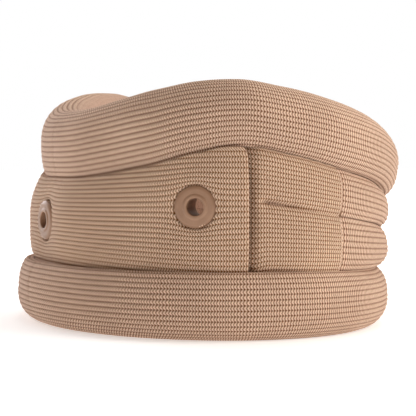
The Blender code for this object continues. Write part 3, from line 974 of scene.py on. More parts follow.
@dataclass
class RollSet:
    """All the padded rolls of one side, from the chin to the nape."""

    side: Side
    knit: bpy.types.Material
    under_tab: float = 1.5 * MM

    def bottom_room(self, angle: np.ndarray) -> Room:
        """Room of the bottom roll, a little fuller towards the nape."""
        zero = np.zeros_like(angle)
        fuller = 0.9 * MM * smooth((np.abs(angle) - 95.0) / 50.0)
        return Room(zero - FORM.roll_thickness, fuller, zero, FORM.lower_seam(angle))

    def top_room(self, angle: np.ndarray) -> Room:
        """Room of the top roll."""
        outer = FORM.top_face(angle)
        low = FORM.upper_seam(angle)
        return Room(outer - FORM.roll_thickness, outer, low, FORM.crest(angle))

    def panel_room(self, angle: np.ndarray) -> Room:
        """Room of the padded panel behind the support band."""
        face = FORM.middle_face(angle)
        outer = face - FORM.band_recess - FORM.band_thickness - FORM.gap
        low = FORM.bottom_height + 0 * angle
        return Room(face - FORM.middle_thickness, outer, low, FORM.upper_seam(angle))

    def rear_outer(self, angle: np.ndarray) -> np.ndarray:
        """Face of the rear rolls: fuller past the tab's hem, flatter under the closure."""
        size = np.abs(angle)
        fuller = 2.1 * smooth((size - FORM.tab_end) / 28.0) - 4.2 * smooth((size - 149.0) / 9.0)
        return FORM.middle_face(angle) + (fuller - 0.9) * MM

    def sunk_outer(self, angle: np.ndarray) -> np.ndarray:
        """Face of the rear rolls pressed in under the tab."""
        size = np.abs(angle)
        sunk = self.under_tab * (1.0 - smooth((size - FORM.tab_end + 2.0) / 5.0))
        tucked = 1.6 * MM * (1.0 - smooth((size - FORM.band_end) / 9.0))
        return self.rear_outer(angle) - sunk - tucked

    def rear_lower_room(self, angle: np.ndarray) -> Room:
        """Room of the lower rear roll."""
        inner = FORM.middle_face(angle) - FORM.middle_thickness
        low = FORM.lower_seam(angle)
        return Room(inner, self.sunk_outer(angle), low, FORM.channel(angle))

    def rear_upper_room(self, angle: np.ndarray) -> Room:
        """Room of the upper rear roll."""
        inner = FORM.middle_face(angle) - FORM.middle_thickness
        return Room(inner, self.sunk_outer(angle), FORM.channel(angle), FORM.upper_seam(angle))

    def rolls(self) -> list[PaddedRoll]:
        """The side's rolls, with the frame's nodes that each stands for."""
        side = self.side
        sign = side.value
        nape = 180.0 - FORM.degrees_for(FORM.nape_gap, 180.0)
        front = side is Side.LEFT

        def nodes(roll: str, crosses: bool) -> tuple[str, ...]:
            """Nodes of a roll on this side; the left one stands for the front too."""
            places = [side.label] + (["front"] if crosses and front else [])
            return tuple(f"{roll}_{kind}_{place}" for place in places for kind in ("cover", "foam"))

        return [
            PaddedRoll(
                f"bottom_roll_{side.label}", side, 0.0, sign * nape, self.bottom_room,
                ribs=43, seed=11, stands_for=nodes("bottom_roll", True),
                fullness=(2.5, 2.5, 2.5, 2.45), press=(1.02, 1.12),
                front_press=(1.02, 1.30), press_eases=(100.0, 140.0),
            ),
            PaddedRoll(
                f"top_roll_{side.label}", side, 0.0, sign * nape, self.top_room,
                ribs=43, seed=23, stands_for=nodes("top_roll", True),
                fullness=(2.1, 2.2, 2.6, 2.5), chin_fullness=(2.2, 2.2, 2.6, 2.6),
                press=(1.12, 1.0), front_press=(1.42, 1.0),
            ),
            PaddedRoll(
                f"rear_lower_roll_{side.label}", side, sign * FORM.band_end, sign * nape,
                self.rear_lower_room, ribs=32, seed=37, press=(1.12, 1.2),
                front_press=(1.45, 1.6), press_eases=(108.0, 140.0),
                stands_for=nodes("rear_lower_roll", False), fullness=(2.5, 3.0, 3.0, 2.5),
            ),
            PaddedRoll(
                f"rear_upper_roll_{side.label}", side, sign * FORM.band_end, sign * nape,
                self.rear_upper_room, ribs=32, seed=41, press=(1.2, 1.12),
                front_press=(1.6, 1.3), press_eases=(108.0, 140.0),
                stands_for=nodes("rear_upper_roll", False), fullness=(2.5, 3.0, 3.0, 2.5),
            ),
        ]

    def panel(self) -> PaddedRoll:
        """Half of the padded panel behind the support band."""
        stands_for = ("middle_panel_cover_front", "middle_panel_foam_front")
        return PaddedRoll(
            f"middle_panel_{self.side.label}", self.side, 0.0, self.side.value * FORM.band_end,
            self.panel_room, ribs=56, seed=53,
            stands_for=stands_for if self.side is Side.LEFT else (),
            fullness=(4.5, 3.2, 3.2, 4.5), unevenness=0.25 * MM,
        )

    def build(self) -> None:
        """Builds the side's rolls and its half of the panel."""
        for roll in self.rolls():
            FORM.bend(roll.build(self.knit))
            LOG.info("built %s", roll.name)
        panel = self.panel()
        piece = panel.build(self.knit)
        open_vents(piece)
        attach(piece, "front_section")
        LOG.info("built %s", panel.name)


# ---------------------------------------------------------------- the support band and its eyelets


@dataclass(frozen=True)
class VentEyelet:
    """A flanged eyelet through the band and the panel, and the washer that holds it inside."""

    label: str
    angle: float
    share: float
    tilt: float = 0.0
    flange_radius: float = 8.1 * MM
    flange_thickness: float = 1.8 * MM
    barrel_radius: float = 4.7 * MM
    vent_radius: float = 3.3 * MM
    rim: float = 0.7 * MM
    washer_radius: float = 7.0 * MM
    washer_thickness: float = 1.4 * MM
    standoff: float = 1.4 * MM
    sides: int = 96

    @property
    def height(self) -> float:
        """Height of the eyelet's middle."""
        return float(
            FORM.bottom_height + FORM.along(FORM.support_height, self.angle) * self.share
        )

    def bore(self) -> Surface:
        """Cylinder that clears the barrel, from before the band to behind the panel."""
        radius = self.barrel_radius + FORM.gap
        rings = self.turned([(radius, -30.0 * MM), (radius, 8.0 * MM)])
        return Surface(rings.points.transpose(1, 0, 2).copy())

    def turned(self, outline: Sequence[tuple[float, float]]) -> Surface:
        """Surface of revolution: an outline of radius and height, turned about the axis."""
        radius, lift = np.array(outline).T
        turn = np.arange(self.sides)[:, None] / self.sides * 2 * math.pi
        face = FORM.middle_face(self.angle) - FORM.band_recess
        centre = FORM.place(self.angle, face, self.height)
        turned = math.radians(self.tilt)
        axis = FORM.outward(np.array(float(self.angle)))
        axis = axis * math.cos(turned) + np.array([-axis[1], axis[0], 0.0]) * math.sin(turned)
        level = np.array([-axis[1], axis[0], 0.0])
        around = np.cos(turn)[..., None] * level + np.sin(turn)[..., None] * np.array([0, 0, 1.0])
        points = centre + around * radius[None, :, None] + axis * lift[None, :, None]
        return Surface(points, ring=True)

    @staticmethod
    def rounded(corners: Sequence[tuple[float, float, float]], steps: int = 6) -> list:
        """Outline with each corner, given with its radius, rounded by a quadratic curve."""
        places = np.array(corners, float)
        made = []
        for at, (x, y, radius) in enumerate(corners):
            corner = np.array([x, y])
            before = unit(places[at - 1, :2] - corner) * radius
            after = unit(places[(at + 1) % len(corners), :2] - corner) * radius
            for t in np.linspace(0, 1, steps if radius > 0 else 1):
                bow = (1 - t) ** 2 * before + t**2 * after
                made.append(tuple(corner + bow))
        return made

    def build(self, finish: bpy.types.Material) -> None:
        """Builds the eyelet and its washer."""
        through = FORM.middle_thickness - FORM.band_recess
        seat = FORM.gap
        face = seat + self.flange_thickness
        near = -through - self.standoff
        far = near - self.washer_thickness
        small = 0.25 * MM
        outline = self.rounded(
            [
                (self.barrel_radius - 0.3 * MM, far - FORM.gap, 0.1 * MM),
                (self.barrel_radius - 0.3 * MM, -5.5 * MM, 0.3 * MM),
                (self.vent_radius, -4.6 * MM, 0.3 * MM),
                (self.vent_radius, face, 0.5 * MM),
                (self.vent_radius + 1.6 * self.rim, face, 0.3 * MM),
                (self.vent_radius + 2.4 * self.rim, face - 0.4 * MM, small),
                (self.flange_radius - 1.2 * MM, face - 0.35 * MM, 0.5 * MM),
                (self.flange_radius, face - 1.0 * MM, 0.4 * MM),
                (self.flange_radius, seat, 0.1 * MM),
                (self.barrel_radius, seat, 0.1 * MM),
                (self.barrel_radius, far - FORM.gap, small),
            ]
        )
        bore = self.barrel_radius + FORM.gap
        washer = self.rounded(
            [
                (bore, far, small),
                (bore, near, 0.1 * MM),
                (self.washer_radius, near, small),
                (self.washer_radius, far, 0.6 * MM),
            ]
        )
        for stem, path in (("eyelet", outline), ("eyelet_washer", washer)):
            name = f"{stem}_{self.label}"
            piece = self.turned(path).build(f"{name}_moulded", finish)
            piece.data.set_sharp_from_angle(angle=math.radians(50))
            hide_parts(name)
            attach(piece, "front_section")


EYELETS = (
    VentEyelet("centre", 0.0, 0.50, tilt=5.0),
    VentEyelet("left", 61.8, 0.55),
    VentEyelet("right", -61.8, 0.55),
)


def open_vents(piece: bpy.types.Object) -> None:
    """Cuts the three vents through a piece, and keeps the result as its plain mesh.

    Args:
        piece: A piece whose mesh is closed.

    Raises:
        RuntimeError: The cut left nothing of the piece.
    """
    cutters = []
    for eyelet in EYELETS:
        cutter = eyelet.bore().build("vent_cutter", piece.data.materials[0])
        modifier = piece.modifiers.new("vent", "BOOLEAN")
        modifier.operation = "DIFFERENCE"
        modifier.solver = "MANIFOLD"
        modifier.object = cutter
        cutters.append(cutter)
    shown = piece.evaluated_get(bpy.context.evaluated_depsgraph_get())
    opened = bpy.data.meshes.new_from_object(shown)
    if not opened.polygons:
        raise RuntimeError(f"cutting the vents left nothing of {piece.name}")
    piece.modifiers.clear()
    closed = piece.data
    piece.data = opened
    opened.name = piece.name
    bpy.data.meshes.remove(closed)
    for cutter in cutters:
        spent = cutter.data
        bpy.data.objects.remove(cutter)
        bpy.data.meshes.remove(spent)


@dataclass
class SupportBand:
    """The stiffened knit band across the front, crowned, with the eyelets sunk in it.

    Its ribs stay level at half height, and run out into the lower seam as they spread.
    """

    knit_finish: bpy.types.Material
    pitch_chin: float = 1.62 * MM
    pitch_side: float = 2.05 * MM
    level: float = 44.0 * MM
    rows: int = 150
    wrap: float = 5.0 * MM
    end_radius: float = 1.5 * MM
    corner: float = 5.0 * MM
    crown: float = 1.3 * MM
    knit: Knit = Knit(relief=0.30 * MM)
    step: float = 0.6 * MM
    dimples: tuple[tuple[float, float], ...] = (
        (3.0 * MM, 9.0 * MM), (1.25 * MM, 2.6 * MM), (1.25 * MM, 2.6 * MM),
    )

    def face(self, angle: np.ndarray, share: np.ndarray, height: np.ndarray) -> np.ndarray:
        """Face of the band, outwards: crowned, dropping to both seams, dimpled at the eyelets.

        Args:
            angle: Angles round the neck.
            share: Share of the way from the lower to the upper seam.
            height: Heights of the same points.

        Returns:
            Distances outwards from the bottom roll's face.
        """
        chin = 1.0 - smooth(np.abs(angle) / 62.0)
        top_drop = (3.0 + 3.0 * chin) * MM
        low_drop = (1.9 + 0.5 * chin) * MM
        top = np.clip((share - 0.50) / 0.50, 0, 1) ** 2.3
        low = np.clip((0.34 - share) / 0.34, 0, 1) ** 3.0
        swell = self.crown * (0.35 + 0.65 * chin)
        outwards = FORM.middle_face(angle) + swell - top_drop * top - low_drop * low
        for eyelet, (depth, width) in zip(EYELETS, self.dimples):
            distance = self.reach(eyelet, angle, height)
            hollow = np.exp(-np.clip(distance - 0.92 * eyelet.flange_radius, 0, None) / width)
            moat = np.exp(-(((distance - eyelet.flange_radius - 0.2 * MM) / (0.45 * MM)) ** 2))
            outwards = outwards - depth * hollow - 1.3 * MM * moat
        return outwards

    @staticmethod
    def reach(eyelet: VentEyelet, angle: np.ndarray, height: np.ndarray) -> np.ndarray:
        """Distance over the band from an eyelet's middle."""
        turn = math.radians(eyelet.angle)
        speed = math.hypot(
            FORM.half_width * math.cos(turn), FORM.half_depth * math.sin(turn)
        )
        along = np.radians(angle - eyelet.angle) * speed
        return np.hypot(along, height - eyelet.height)

    def build(self) -> None:
        """Builds the band: fabric rows from the lower seam up, wrapped in over the upper edge."""
        angle, distance = FORM.walk(-FORM.band_end, FORM.band_end, self.step)
        angle, distance = angle[:, None], distance[:, None]
        side = smooth(np.abs(angle) / FORM.band_end)
        pitch = self.pitch_chin + (self.pitch_side - self.pitch_chin) * side
        low = FORM.bottom_height - 0.2 * MM
        full = FORM.upper_seam(angle) - low
        folds = 8
        share = np.append(np.linspace(0.0, 1.0, self.rows), np.ones(folds))[None, :]
        over = np.append(np.zeros(self.rows), np.linspace(0.0, self.wrap, folds + 1)[1:])[None, :]
        height = low + full * share
        from_end = np.abs(distance[[0, -1]]).max() - np.abs(distance)
        ease = np.clip(1.0 - from_end / self.end_radius, 0, 1)
        turned_in = self.end_radius * (1.0 - np.sqrt(1.0 - ease**2))
        back_face = FORM.middle_face(angle) - FORM.band_recess - FORM.band_thickness
        outwards = self.face(angle, share, height) - over - turned_in
        outwards = np.maximum(outwards, back_face + 0.4 * MM)
        inside = np.clip(self.corner - full * (1.0 - share), 0, None)
        drawn = self.corner - np.sqrt(self.corner**2 - inside**2)
        drawn = drawn * smooth((np.abs(angle) - 62.0) / (FORM.band_end - 62.0))
        drawn = np.sign(angle) * drawn * FORM.degrees_for(0.6, FORM.band_end)
        front = FORM.place(angle - drawn, outwards, height)
        back_height = np.concatenate([low + full - 1.0 * MM, low + 0 * full + 1.0 * MM], axis=1)
        back = FORM.place(angle, back_face, back_height)
        points = np.concatenate([front, back], axis=1)
        surface = Surface(points)
        normal = surface.normals()
        phase = self.settled(angle, height, (height - self.level) / pitch)
        relief = self.knit.relief * self.knit.rib_height(phase) * (over < 1e-6)
        relief = np.concatenate([relief, np.zeros((len(angle), 2))], axis=1)
        surface.points = points + normal * relief[..., None]
        phases = np.concatenate([phase, phase[:, -1:] + 1, phase[:, -1:] + 2, phase[:, :1]], axis=1)
        surface.uv = np.stack(
            np.broadcast_arrays(self.knit.along(angle, distance), phases), axis=-1
        )
        surface.values = {"quiet": np.zeros(points.shape[:2])}
        piece = surface.build("support_band", self.knit_finish)
        open_vents(piece)
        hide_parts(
            "support_band_cover", "support_band_stiffener", "support_band_padding"
        )
        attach(piece, "front_section")
        LOG.info("built the support band")

    def settled(self, angle: np.ndarray, height: np.ndarray, phase: np.ndarray) -> np.ndarray:
        """Rib phase pushed apart round each eyelet, fading with the cube of the distance."""
        for eyelet in EYELETS:
            distance = self.reach(eyelet, angle, height)
            push = 0.30 * (eyelet.flange_radius / np.maximum(distance, eyelet.flange_radius)) ** 3
            phase = phase - (height - eyelet.height) / self.pitch_side * push
        return phase


# ---------------------------------------------------------------- side tabs


@dataclass
class SideTab:
    """Knit tab that comes out from under the band and ends in a hem over the rear rolls.

    The sewn channel is a narrow groove in a wide hollow, each with its depth and width in mm.
    """

    side: Side
    finish: bpy.types.Material
    rolls: RollSet
    first: float = 72.0
    ribs: int = 26
    corner: float = 3.5 * MM
    thickness: float = 0.5 * MM
    settles: tuple[float, float] = (83.0, 105.0)
    tuck: float = 3.0
    groove: tuple[float, float] = (2.2, 0.8)
    hollow: tuple[float, float] = (1.3, 3.0)
    edge_from: float = 0.78
    edge_drop: float = 2.6 * MM
    deepest: float = 5.2 * MM
    step: float = 0.7 * MM
    knit: Knit = Knit(relief=0.30 * MM)

    def roll_face(self, angle: np.ndarray, height: np.ndarray) -> np.ndarray:
        """Face of the tab where it lies on the two rear rolls, with the crease between them."""
        lower, upper = self.rolls.rolls()[2:]
        face = np.maximum(lower.front(angle, height), upper.front(angle, height))
        return face + self.rolls.rear_outer(angle) - self.rolls.sunk_outer(angle) + self.thickness

    def face(self, angle: np.ndarray, height: np.ndarray) -> np.ndarray:
        """Face of the tab, stretched flat near the band and settling onto the rolls by its hem."""
        size = np.abs(angle)
        settle = smooth((size - self.settles[0]) / (self.settles[1] - self.settles[0]))
        tucked = self.tuck * (1.0 - smooth((size - FORM.band_end) / 3.5))
        flat = FORM.middle_face(angle) - (0.7 + tucked) * MM
        low, high = FORM.lower_seam(angle), FORM.upper_seam(angle)
        share = np.clip((height - low) / (high - low), 0, 1)
        edge = np.clip(np.abs(2 * share - 1.0) - self.edge_from, 0, 1) / (1.0 - self.edge_from)
        flat = flat - self.edge_drop * edge**2
        seam = (height - FORM.channel(angle)) / MM
        sewn = sum(
            depth * np.exp(-((seam / width) ** 2)) for depth, width in (self.groove, self.hollow)
        )
        sewn = sewn * MM * smooth((size - 80.4) / 4.0)
        deepest = FORM.middle_face(angle) - self.deepest
        rolled = np.maximum(self.roll_face(angle, height), deepest)
        return flat + (rolled - flat) * settle - sewn * (1.0 - 0.85 * settle)

    def build(self) -> None:
        """Builds the tab: rows of fabric up the rolls, its hem edge drawn in at the top corner."""
        sign = self.side.value
        angle, distance = FORM.walk(sign * self.first, sign * FORM.tab_end, self.step)
        share = (np.arange(len(angle)) / (len(angle) - 1))[:, None]
        rows = self.ribs * self.knit.samples + 1
        climb = np.linspace(0.0, 1.0, rows)[None, :]
        reach = FORM.degrees_for(1.0, FORM.tab_end)
        span = FORM.tab_end - self.first
        tall = float(FORM.along(FORM.support_height, np.array(FORM.tab_end)))
        from_top = (1.0 - climb) * tall
        inside = np.clip(self.corner - from_top, 0, None)
        drawn = self.corner - np.sqrt(np.maximum(self.corner**2 - inside**2, 0.0))
        angles = sign * (self.first + (span - drawn * reach) * share)
        dip = 1.6 * MM * np.exp(-(((np.abs(angles) - 79.5) / 2.6) ** 2))
        low = FORM.lower_seam(angles) - dip * (1.0 - climb) ** 2
        height = low + (FORM.upper_seam(angles) - low) * climb
        outwards = self.face(angles, height)
        from_hem = (1.0 - share) * span / reach
        ease = np.clip(1.0 - from_hem / (0.8 * MM), 0, 1)
        outwards = outwards - 0.8 * MM * (1.0 - np.sqrt(1.0 - ease**2))
        hem = 0.12 * MM * np.exp(-(((from_hem - 1.0 * MM) / (0.45 * MM)) ** 2))
        front = FORM.place(angles, outwards + hem, height)
        back = FORM.place(angles[:, [-1, 0]], outwards[:, [-1, 0]] - 1.4 * MM, height[:, [-1, 0]])
        points = np.concatenate([front, back], axis=1)
        surface = Surface(points)
        phase = climb * self.ribs
        calm = 1.0 - 0.8 * smooth(1.0 - (from_hem - 0.8 * MM) / (1.0 * MM))
        relief = self.knit.relief * self.knit.rib_height(phase) * calm
        relief = np.concatenate([relief, np.zeros((len(angle), 2))], axis=1)
        surface.points = points + surface.normals() * relief[..., None]
        phases = np.concatenate([phase, phase[:, -1:] + 1, phase[:, -1:] + 2, phase[:, :1]], axis=1)
        surface.uv = np.stack(
            np.broadcast_arrays(self.knit.along(angle[:, None], distance[:, None]), phases), axis=-1
        )
        # Painted highlight: within about two millimetres of the hem the knit is painted paler,
        # towards the lining colour, with less painted valley shade.
        pale = np.broadcast_to(0.9 * (1.0 - calm) / 0.8, points.shape[:2])
        surface.values = {"quiet": pale}
        piece = surface.build(f"side_tab_{self.side.label}_knit", self.finish)
        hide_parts(f"side_tab_{self.side.label}")
        FORM.bend(piece)
        LOG.info("built the %s side tab", self.side.label)


# ---------------------------------------------------------------- the closure at the nape


@dataclass
class NapeClosure:
    """Woven strap sewn to the left wing, with hook tape, and the loop tape on the right wing."""

    strap_finish: bpy.types.Material
    hook_finish: bpy.types.Material
    loop_finish: bpy.types.Material
    thread_finish: bpy.types.Material
    width: float = 0.020
    thickness: float = 1.6 * MM
    tape_thickness: float = 1.2 * MM
    tape_margin: float = 1.5 * MM
    sewn_from: float = 158.0
    fold: float = 169.0
    tip: float = 205.0
    tip_radius: float = 7.0 * MM
    hook_from: float = 185.0
    loop_from: float = 182.5
    loop_to: float = 212.0

    def loop_back(self, angle: np.ndarray) -> np.ndarray:
        """Inner face of the loop tape, on the rear rolls."""
        return FORM.middle_face(angle) - FORM.tab_thickness

    def hook_back(self, angle: np.ndarray) -> np.ndarray:
        """Inner face of the hook tape, on the loop tape."""
        return self.loop_back(angle) + self.tape_thickness + FORM.gap

    def strap_back(self, angle: np.ndarray) -> np.ndarray:
        """Inner face of the strap: on the rolls where sewn down, over both tapes past the fold."""
        lifted = self.hook_back(angle) + self.tape_thickness + FORM.gap
        rise = smooth((angle - self.sewn_from) / (self.fold - self.sewn_from))
        return self.loop_back(angle) + (lifted - self.loop_back(angle)) * rise

    def strip(
        self,
        span: tuple[float, float],
        back: Callable[[np.ndarray], np.ndarray],
        thickness: float,
        width: float,
        corner: float = 0.0,
    ) -> Surface:
        """A strip on edge round the rolls: a rounded rectangle carried along the oval.

        Args:
            span: Angles of its two ends.
            back: Its inner face at an angle.
            thickness: Its thickness.
            width: Its width.
            corner: Radius of its last end's corners.

        Returns:
            The closed surface, with a map in millimetres.
        """
        angle, distance = FORM.walk(span[0], span[1], 0.8 * MM)
        angle, distance = angle[:, None], distance[:, None]
        across = np.linspace(-1.0, 1.0, 41)
        rim = 1.0 - np.clip((np.abs(across) - 0.955) / 0.045, 0, 1) ** 2
        lane = np.concatenate([across, across[::-1]])[None, :]
        lift = np.concatenate([0.55 + 0.45 * rim, 0.45 - 0.45 * rim[::-1]])[None, :]
        from_tip = distance[-1] - distance
        inside = np.clip(corner - from_tip, 0, None)
        drop = corner - np.sqrt(np.maximum(corner**2 - inside**2, 0.0)) if corner else 0.0
        half = width / 2 - drop
        centre = (FORM.bottom_height + FORM.upper_seam(angle)) / 2
        outwards = back(angle) + thickness * lift
        points = FORM.place(angle, outwards, centre + half * lane)
        turn = np.concatenate([lane[0], lane[0, :1]])[None, :] * half * 1000
        uv = np.stack(np.broadcast_arrays(distance * 1000, turn), axis=-1)
        return Surface(points, uv)

    def stitches(self) -> bpy.types.Object:
        """Lock stitches round the strap's sewn end.

        Each stitch is a bowed thread: a small circle carried along a half wave that rises out
        of the strap and dives back in.
        """
        left, right = 159.5, 166.5
        half = self.width / 2 - 2.2 * MM
        pitch = 2.6 * MM
        walk_angle, walk_distance = FORM.walk(left, right, 0.2 * MM)
        length = walk_distance[-1] - walk_distance[0]
        around = [(0.0, -half), (length, -half), (length, half), (0.0, half), (0.0, -half)]
        starts, ends = [], []
        for (x0, y0), (x1, y1) in zip(around, around[1:]):
            side = math.hypot(x1 - x0, y1 - y0)
            count = max(1, round(side / pitch))
            t = np.arange(count)[:, None]
            run = np.array([[x1 - x0, y1 - y0]]) / count
            starts.append(np.array([[x0, y0]]) + run * (t + 0.12))
            ends.append(np.array([[x0, y0]]) + run * (t + 0.88))
        start, end = np.concatenate(starts), np.concatenate(ends)
        t = np.linspace(0, 1, 7)[None, :, None]
        path = start[:, None] * (1 - t) + end[:, None] * t
        rise = 0.22 * MM * np.sin(math.pi * t[..., 0]) - 0.05 * MM
        angle = np.interp(path[..., 0], walk_distance - walk_distance[0], walk_angle)
        centre = (FORM.bottom_height + FORM.upper_seam(angle)) / 2 + path[..., 1]
        outwards = self.strap_back(angle) + self.thickness + rise
        line = FORM.place(angle, outwards, centre)
        ahead = unit(np.gradient(line, axis=1))
        out = FORM.outward(angle)
        beside = unit(np.cross(ahead, out))
        lift = np.cross(beside, ahead)
        turn = np.arange(6) / 6 * 2 * math.pi
        beside, lift = beside[..., None, :], lift[..., None, :]
        circle = np.cos(turn)[:, None] * beside + np.sin(turn)[:, None] * lift
        tube = line[..., None, :] + circle * 0.24 * MM
        count, rings, sides = tube.shape[:3]
        i, j, k = np.meshgrid(
            np.arange(count), np.arange(rings - 1), np.arange(sides), indexing="ij"
        )
        corner = [
            (i * rings + j) * sides + k,
            (i * rings + j) * sides + (k + 1) % sides,
            (i * rings + j + 1) * sides + (k + 1) % sides,
            (i * rings + j + 1) * sides + k,
        ]
        quads = np.stack([c.ravel() for c in corner], axis=-1)
        ring = np.arange(sides)
        base = (np.arange(count) * rings * sides)[:, None]
        caps = np.concatenate([base + ring[::-1], base + (rings - 1) * sides + ring])
        mesh = bpy.data.meshes.new("strap_stitches")
        mesh.from_pydata(tube.reshape(-1, 3).tolist(), [], quads.tolist() + caps.tolist())
        mesh.shade_smooth()
        mesh.materials.append(self.thread_finish)
        piece = bpy.data.objects.new("strap_stitches", mesh)
        bpy.context.scene.collection.objects.link(piece)
        return piece

    def build(self) -> None:
        """Builds the strap, its tapes and its stitches."""
        strap = self.strip(
            (self.sewn_from, self.tip), self.strap_back, self.thickness, self.width,
            self.tip_radius,
        ).build("nape_strap", self.strap_finish)
        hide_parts("strap_root", "closure_strap")
        ends = [FORM.place(angle, 0.0, 0.0) for angle in (self.fold - 2.0, self.fold + 3.0)]
        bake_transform(strap)
        narrow = self.width - 2 * self.tape_margin
        hook = self.strip(
            (self.hook_from, self.tip - 1.0), self.hook_back, self.tape_thickness, narrow,
            self.tip_radius - self.tape_margin,
        ).build("hook_tape_piece", self.hook_finish)
        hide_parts("hook_tape")
        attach(hook, "closure_strap")
        loop = self.strip(
            (self.loop_from, self.loop_to), self.loop_back, self.tape_thickness, narrow
        ).build("loop_tape_piece", self.loop_finish)
        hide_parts("loop_tape")
        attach(loop, "right_wing")
        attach(self.stitches(), "left_wing")
        LOG.info("built the nape closure")


# ---------------------------------------------------------------- the studio


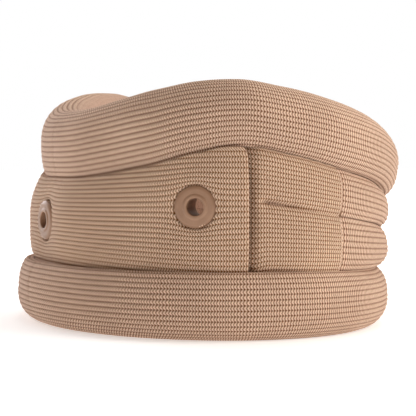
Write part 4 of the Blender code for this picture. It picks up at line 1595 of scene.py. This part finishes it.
@dataclass(frozen=True)
class Studio:
    """Pale floor, soft light and the camera."""

    azimuth: float = 68.06
    distance: float = 0.6661
    height: float = 0.0704
    focal: float = 133.6
    pitch: float = 1.97
    yaw: float = 0.37
    ambient: float = 0.32
    shadow_side: float = 0.20
    warmth: Colour = (1.0, 0.80, 0.64)
    # Glow of the floor near the collar, lowered below white: a painted shade round the collar.
    shaded_floor_glow: float = 0.44

    def floor(self) -> None:
        """A wide pale floor under the collar, glowing white far off; near the collar its glow is
        lowered, a painted shade round the collar.
        """
        loom = Loom("studio_floor")
        place = loom.node("ShaderNodeTexCoord").outputs["Object"]
        reach = loom.node("ShaderNodeVectorMath", {"operation": "LENGTH"}, {0: place})
        # Painted shade: the glow is the lower floor glow within 0.12 m of the middle and rises to
        # white by 0.55 m, darkening the floor round the collar.
        far = loom.wire(reach, "Value").between(0.12, 0.55)
        near = (self.shaded_floor_glow, self.shaded_floor_glow, self.shaded_floor_glow)
        finish = loom.finish(
            {
                "Base Color": (0.9, 0.9, 0.9, 1.0),
                "Roughness": 1.0,
                "Specular IOR Level": 0.0,
                "Emission Color": loom.mix(far, near, (1.0, 1.0, 1.0)),
                "Emission Strength": 1.0,
            }
        )
        mesh = bpy.data.meshes.new("studio_floor")
        reach = 6.0
        corners = [(-reach, -reach, 0), (reach, -reach, 0), (reach, reach, 0), (-reach, reach, 0)]
        mesh.from_pydata(corners, [], [(0, 1, 2, 3)])
        mesh.materials.append(finish)
        floor = bpy.data.objects.new("studio_floor", mesh)
        bpy.context.scene.collection.objects.link(floor)

    def sky(self) -> None:
        """White surroundings, dimmer and warmer on the camera's side of the room."""
        world = bpy.data.worlds.new("studio")
        bpy.context.scene.world = world
        world.use_nodes = True
        tree = world.node_tree
        tree.nodes.clear()
        place = tree.nodes.new("ShaderNodeTexCoord")
        toward = tree.nodes.new("ShaderNodeVectorMath")
        toward.operation = "DOT_PRODUCT"
        turn = math.radians(self.azimuth)
        toward.inputs[1].default_value = (math.sin(turn), -math.cos(turn), 0.0)
        shade = tree.nodes.new("ShaderNodeMapRange")
        shade.interpolation_type = "SMOOTHSTEP"
        shade.inputs["From Min"].default_value = -0.2
        shade.inputs["From Max"].default_value = 0.9
        shade.inputs["To Min"].default_value = self.ambient
        shade.inputs["To Max"].default_value = self.shadow_side
        path = tree.nodes.new("ShaderNodeLightPath")
        pick = tree.nodes.new("ShaderNodeMix")
        pick.data_type = "FLOAT"
        pick.inputs[3].default_value = 1.0
        facing = tree.nodes.new("ShaderNodeMapRange")
        facing.inputs["From Min"].default_value = -0.2
        facing.inputs["From Max"].default_value = 0.9
        tint = tree.nodes.new("ShaderNodeMix")
        tint.data_type = "RGBA"
        tint.inputs[6].default_value = (1.0, 1.0, 1.0, 1.0)
        tint.inputs[7].default_value = (*self.warmth, 1.0)
        back = tree.nodes.new("ShaderNodeBackground")
        out = tree.nodes.new("ShaderNodeOutputWorld")
        tree.links.new(place.outputs["Generated"], toward.inputs[0])
        tree.links.new(toward.outputs["Value"], shade.inputs["Value"])
        tree.links.new(toward.outputs["Value"], facing.inputs["Value"])
        tree.links.new(facing.outputs[0], tint.inputs[0])
        tree.links.new(tint.outputs[2], back.inputs["Color"])
        tree.links.new(path.outputs["Is Camera Ray"], pick.inputs[0])
        tree.links.new(shade.outputs[0], pick.inputs[2])
        tree.links.new(pick.outputs[0], back.inputs["Strength"])
        tree.links.new(back.outputs[0], out.inputs[0])

    def lamp(
        self, name: str, turn: float, rise: float, reach: float, size: float, power: float,
        colour: Colour,
    ) -> None:
        """A square soft light that faces the collar.

        Args:
            name: The light's name.
            turn: Its angle from the camera, positive to the camera's right.
            rise: Its angle over the floor.
            reach: Its distance.
            size: Its side.
            power: Its power in watts.
            colour: Its colour.
        """
        light = bpy.data.lights.new(name, "AREA")
        light.shape = "SQUARE"
        light.size = size
        light.energy = power
        light.color = colour
        a, e = math.radians(self.azimuth + turn), math.radians(rise)
        way = Vector((math.sin(a) * math.cos(e), -math.cos(a) * math.cos(e), math.sin(e)))
        lamp = bpy.data.objects.new(name, light)
        lamp.location = way * reach + Vector((0, 0, 0.05))
        lamp.rotation_mode = "QUATERNION"
        lamp.rotation_quaternion = way.to_track_quat("Z", "Y")
        bpy.context.scene.collection.objects.link(lamp)

    def camera(self) -> None:
        """The camera, level with the top roll and turned a little down."""
        turn = math.radians(self.azimuth)
        data = bpy.data.cameras.new("camera")
        data.sensor_width = 36.0
        data.lens = self.focal
        data.clip_start = 0.05
        data.clip_end = 50.0
        camera = bpy.data.objects.new("camera", data)
        camera.location = (
            self.distance * math.sin(turn),
            FORM.centre_shift - self.distance * math.cos(turn),
            self.height,
        )
        camera.rotation_euler = (
            math.radians(90.0 - self.pitch), 0.0, turn - math.radians(self.yaw)
        )
        bpy.context.scene.collection.objects.link(camera)
        bpy.context.scene.camera = camera

    def build(self) -> None:
        """Sets up floor, light and camera."""
        self.floor()
        self.sky()
        self.lamp("rim_left", -136.0, 20.0, 1.2, 0.7, 6.5, (1.0, 0.94, 0.97))
        self.lamp("side_right", 72.0, 28.0, 1.2, 0.8, 9.0, (1.0, 0.93, 0.85))
        self.lamp("overhead", 150.0, 70.0, 1.3, 1.0, 7.5, (1.0, 1.0, 1.0))
        self.camera()
        bpy.context.scene.view_settings.view_transform = "Standard"


# ---------------------------------------------------------------- the whole collar


@dataclass
class Collar:
    """Every sub-assembly, with the finishes that they share."""

    def build(self) -> None:
        """Builds the collar piece by piece."""
        knit = KnitFinish().dress()
        band_knit = KnitFinish(
            name="band_knit",
            light=(0.93, 0.69, 0.52),
            middle=(0.27, 0.145, 0.07),
            deep=(0.19, 0.062, 0.004),
        ).dress()
        for side in Side:
            rolls = RollSet(side, knit)
            rolls.build()
            SideTab(side, band_knit, rolls).build()
        SupportBand(band_knit).build()
        moulded = MouldedFinish().dress()
        for eyelet in EYELETS:
            eyelet.build(moulded)
            LOG.info("built the %s eyelet", eyelet.label)
        NapeClosure(
            WovenFinish().dress(),
            TapeFinish("hook_tape", (0.62, 0.47, 0.36), (0.36, 0.25, 0.18), 1.1, 0.15).dress(),
            TapeFinish("loop_tape", (0.62, 0.45, 0.34), (0.40, 0.27, 0.20), 1.6, 1.2).dress(),
            ThreadFinish().dress(),
        ).build()


def corners(box: tuple[Vector, Vector]) -> list[list[float]]:
    """A box's two corners as plain lists."""
    return [[float(part) for part in corner] for corner in box]


def main() -> None:
    """Builds the collar and its studio round the frame."""
    logging.basicConfig(level=logging.INFO, format="%(message)s")
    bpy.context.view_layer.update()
    Collar().build()
    Studio().build()


if __name__ == "__main__":
    main()
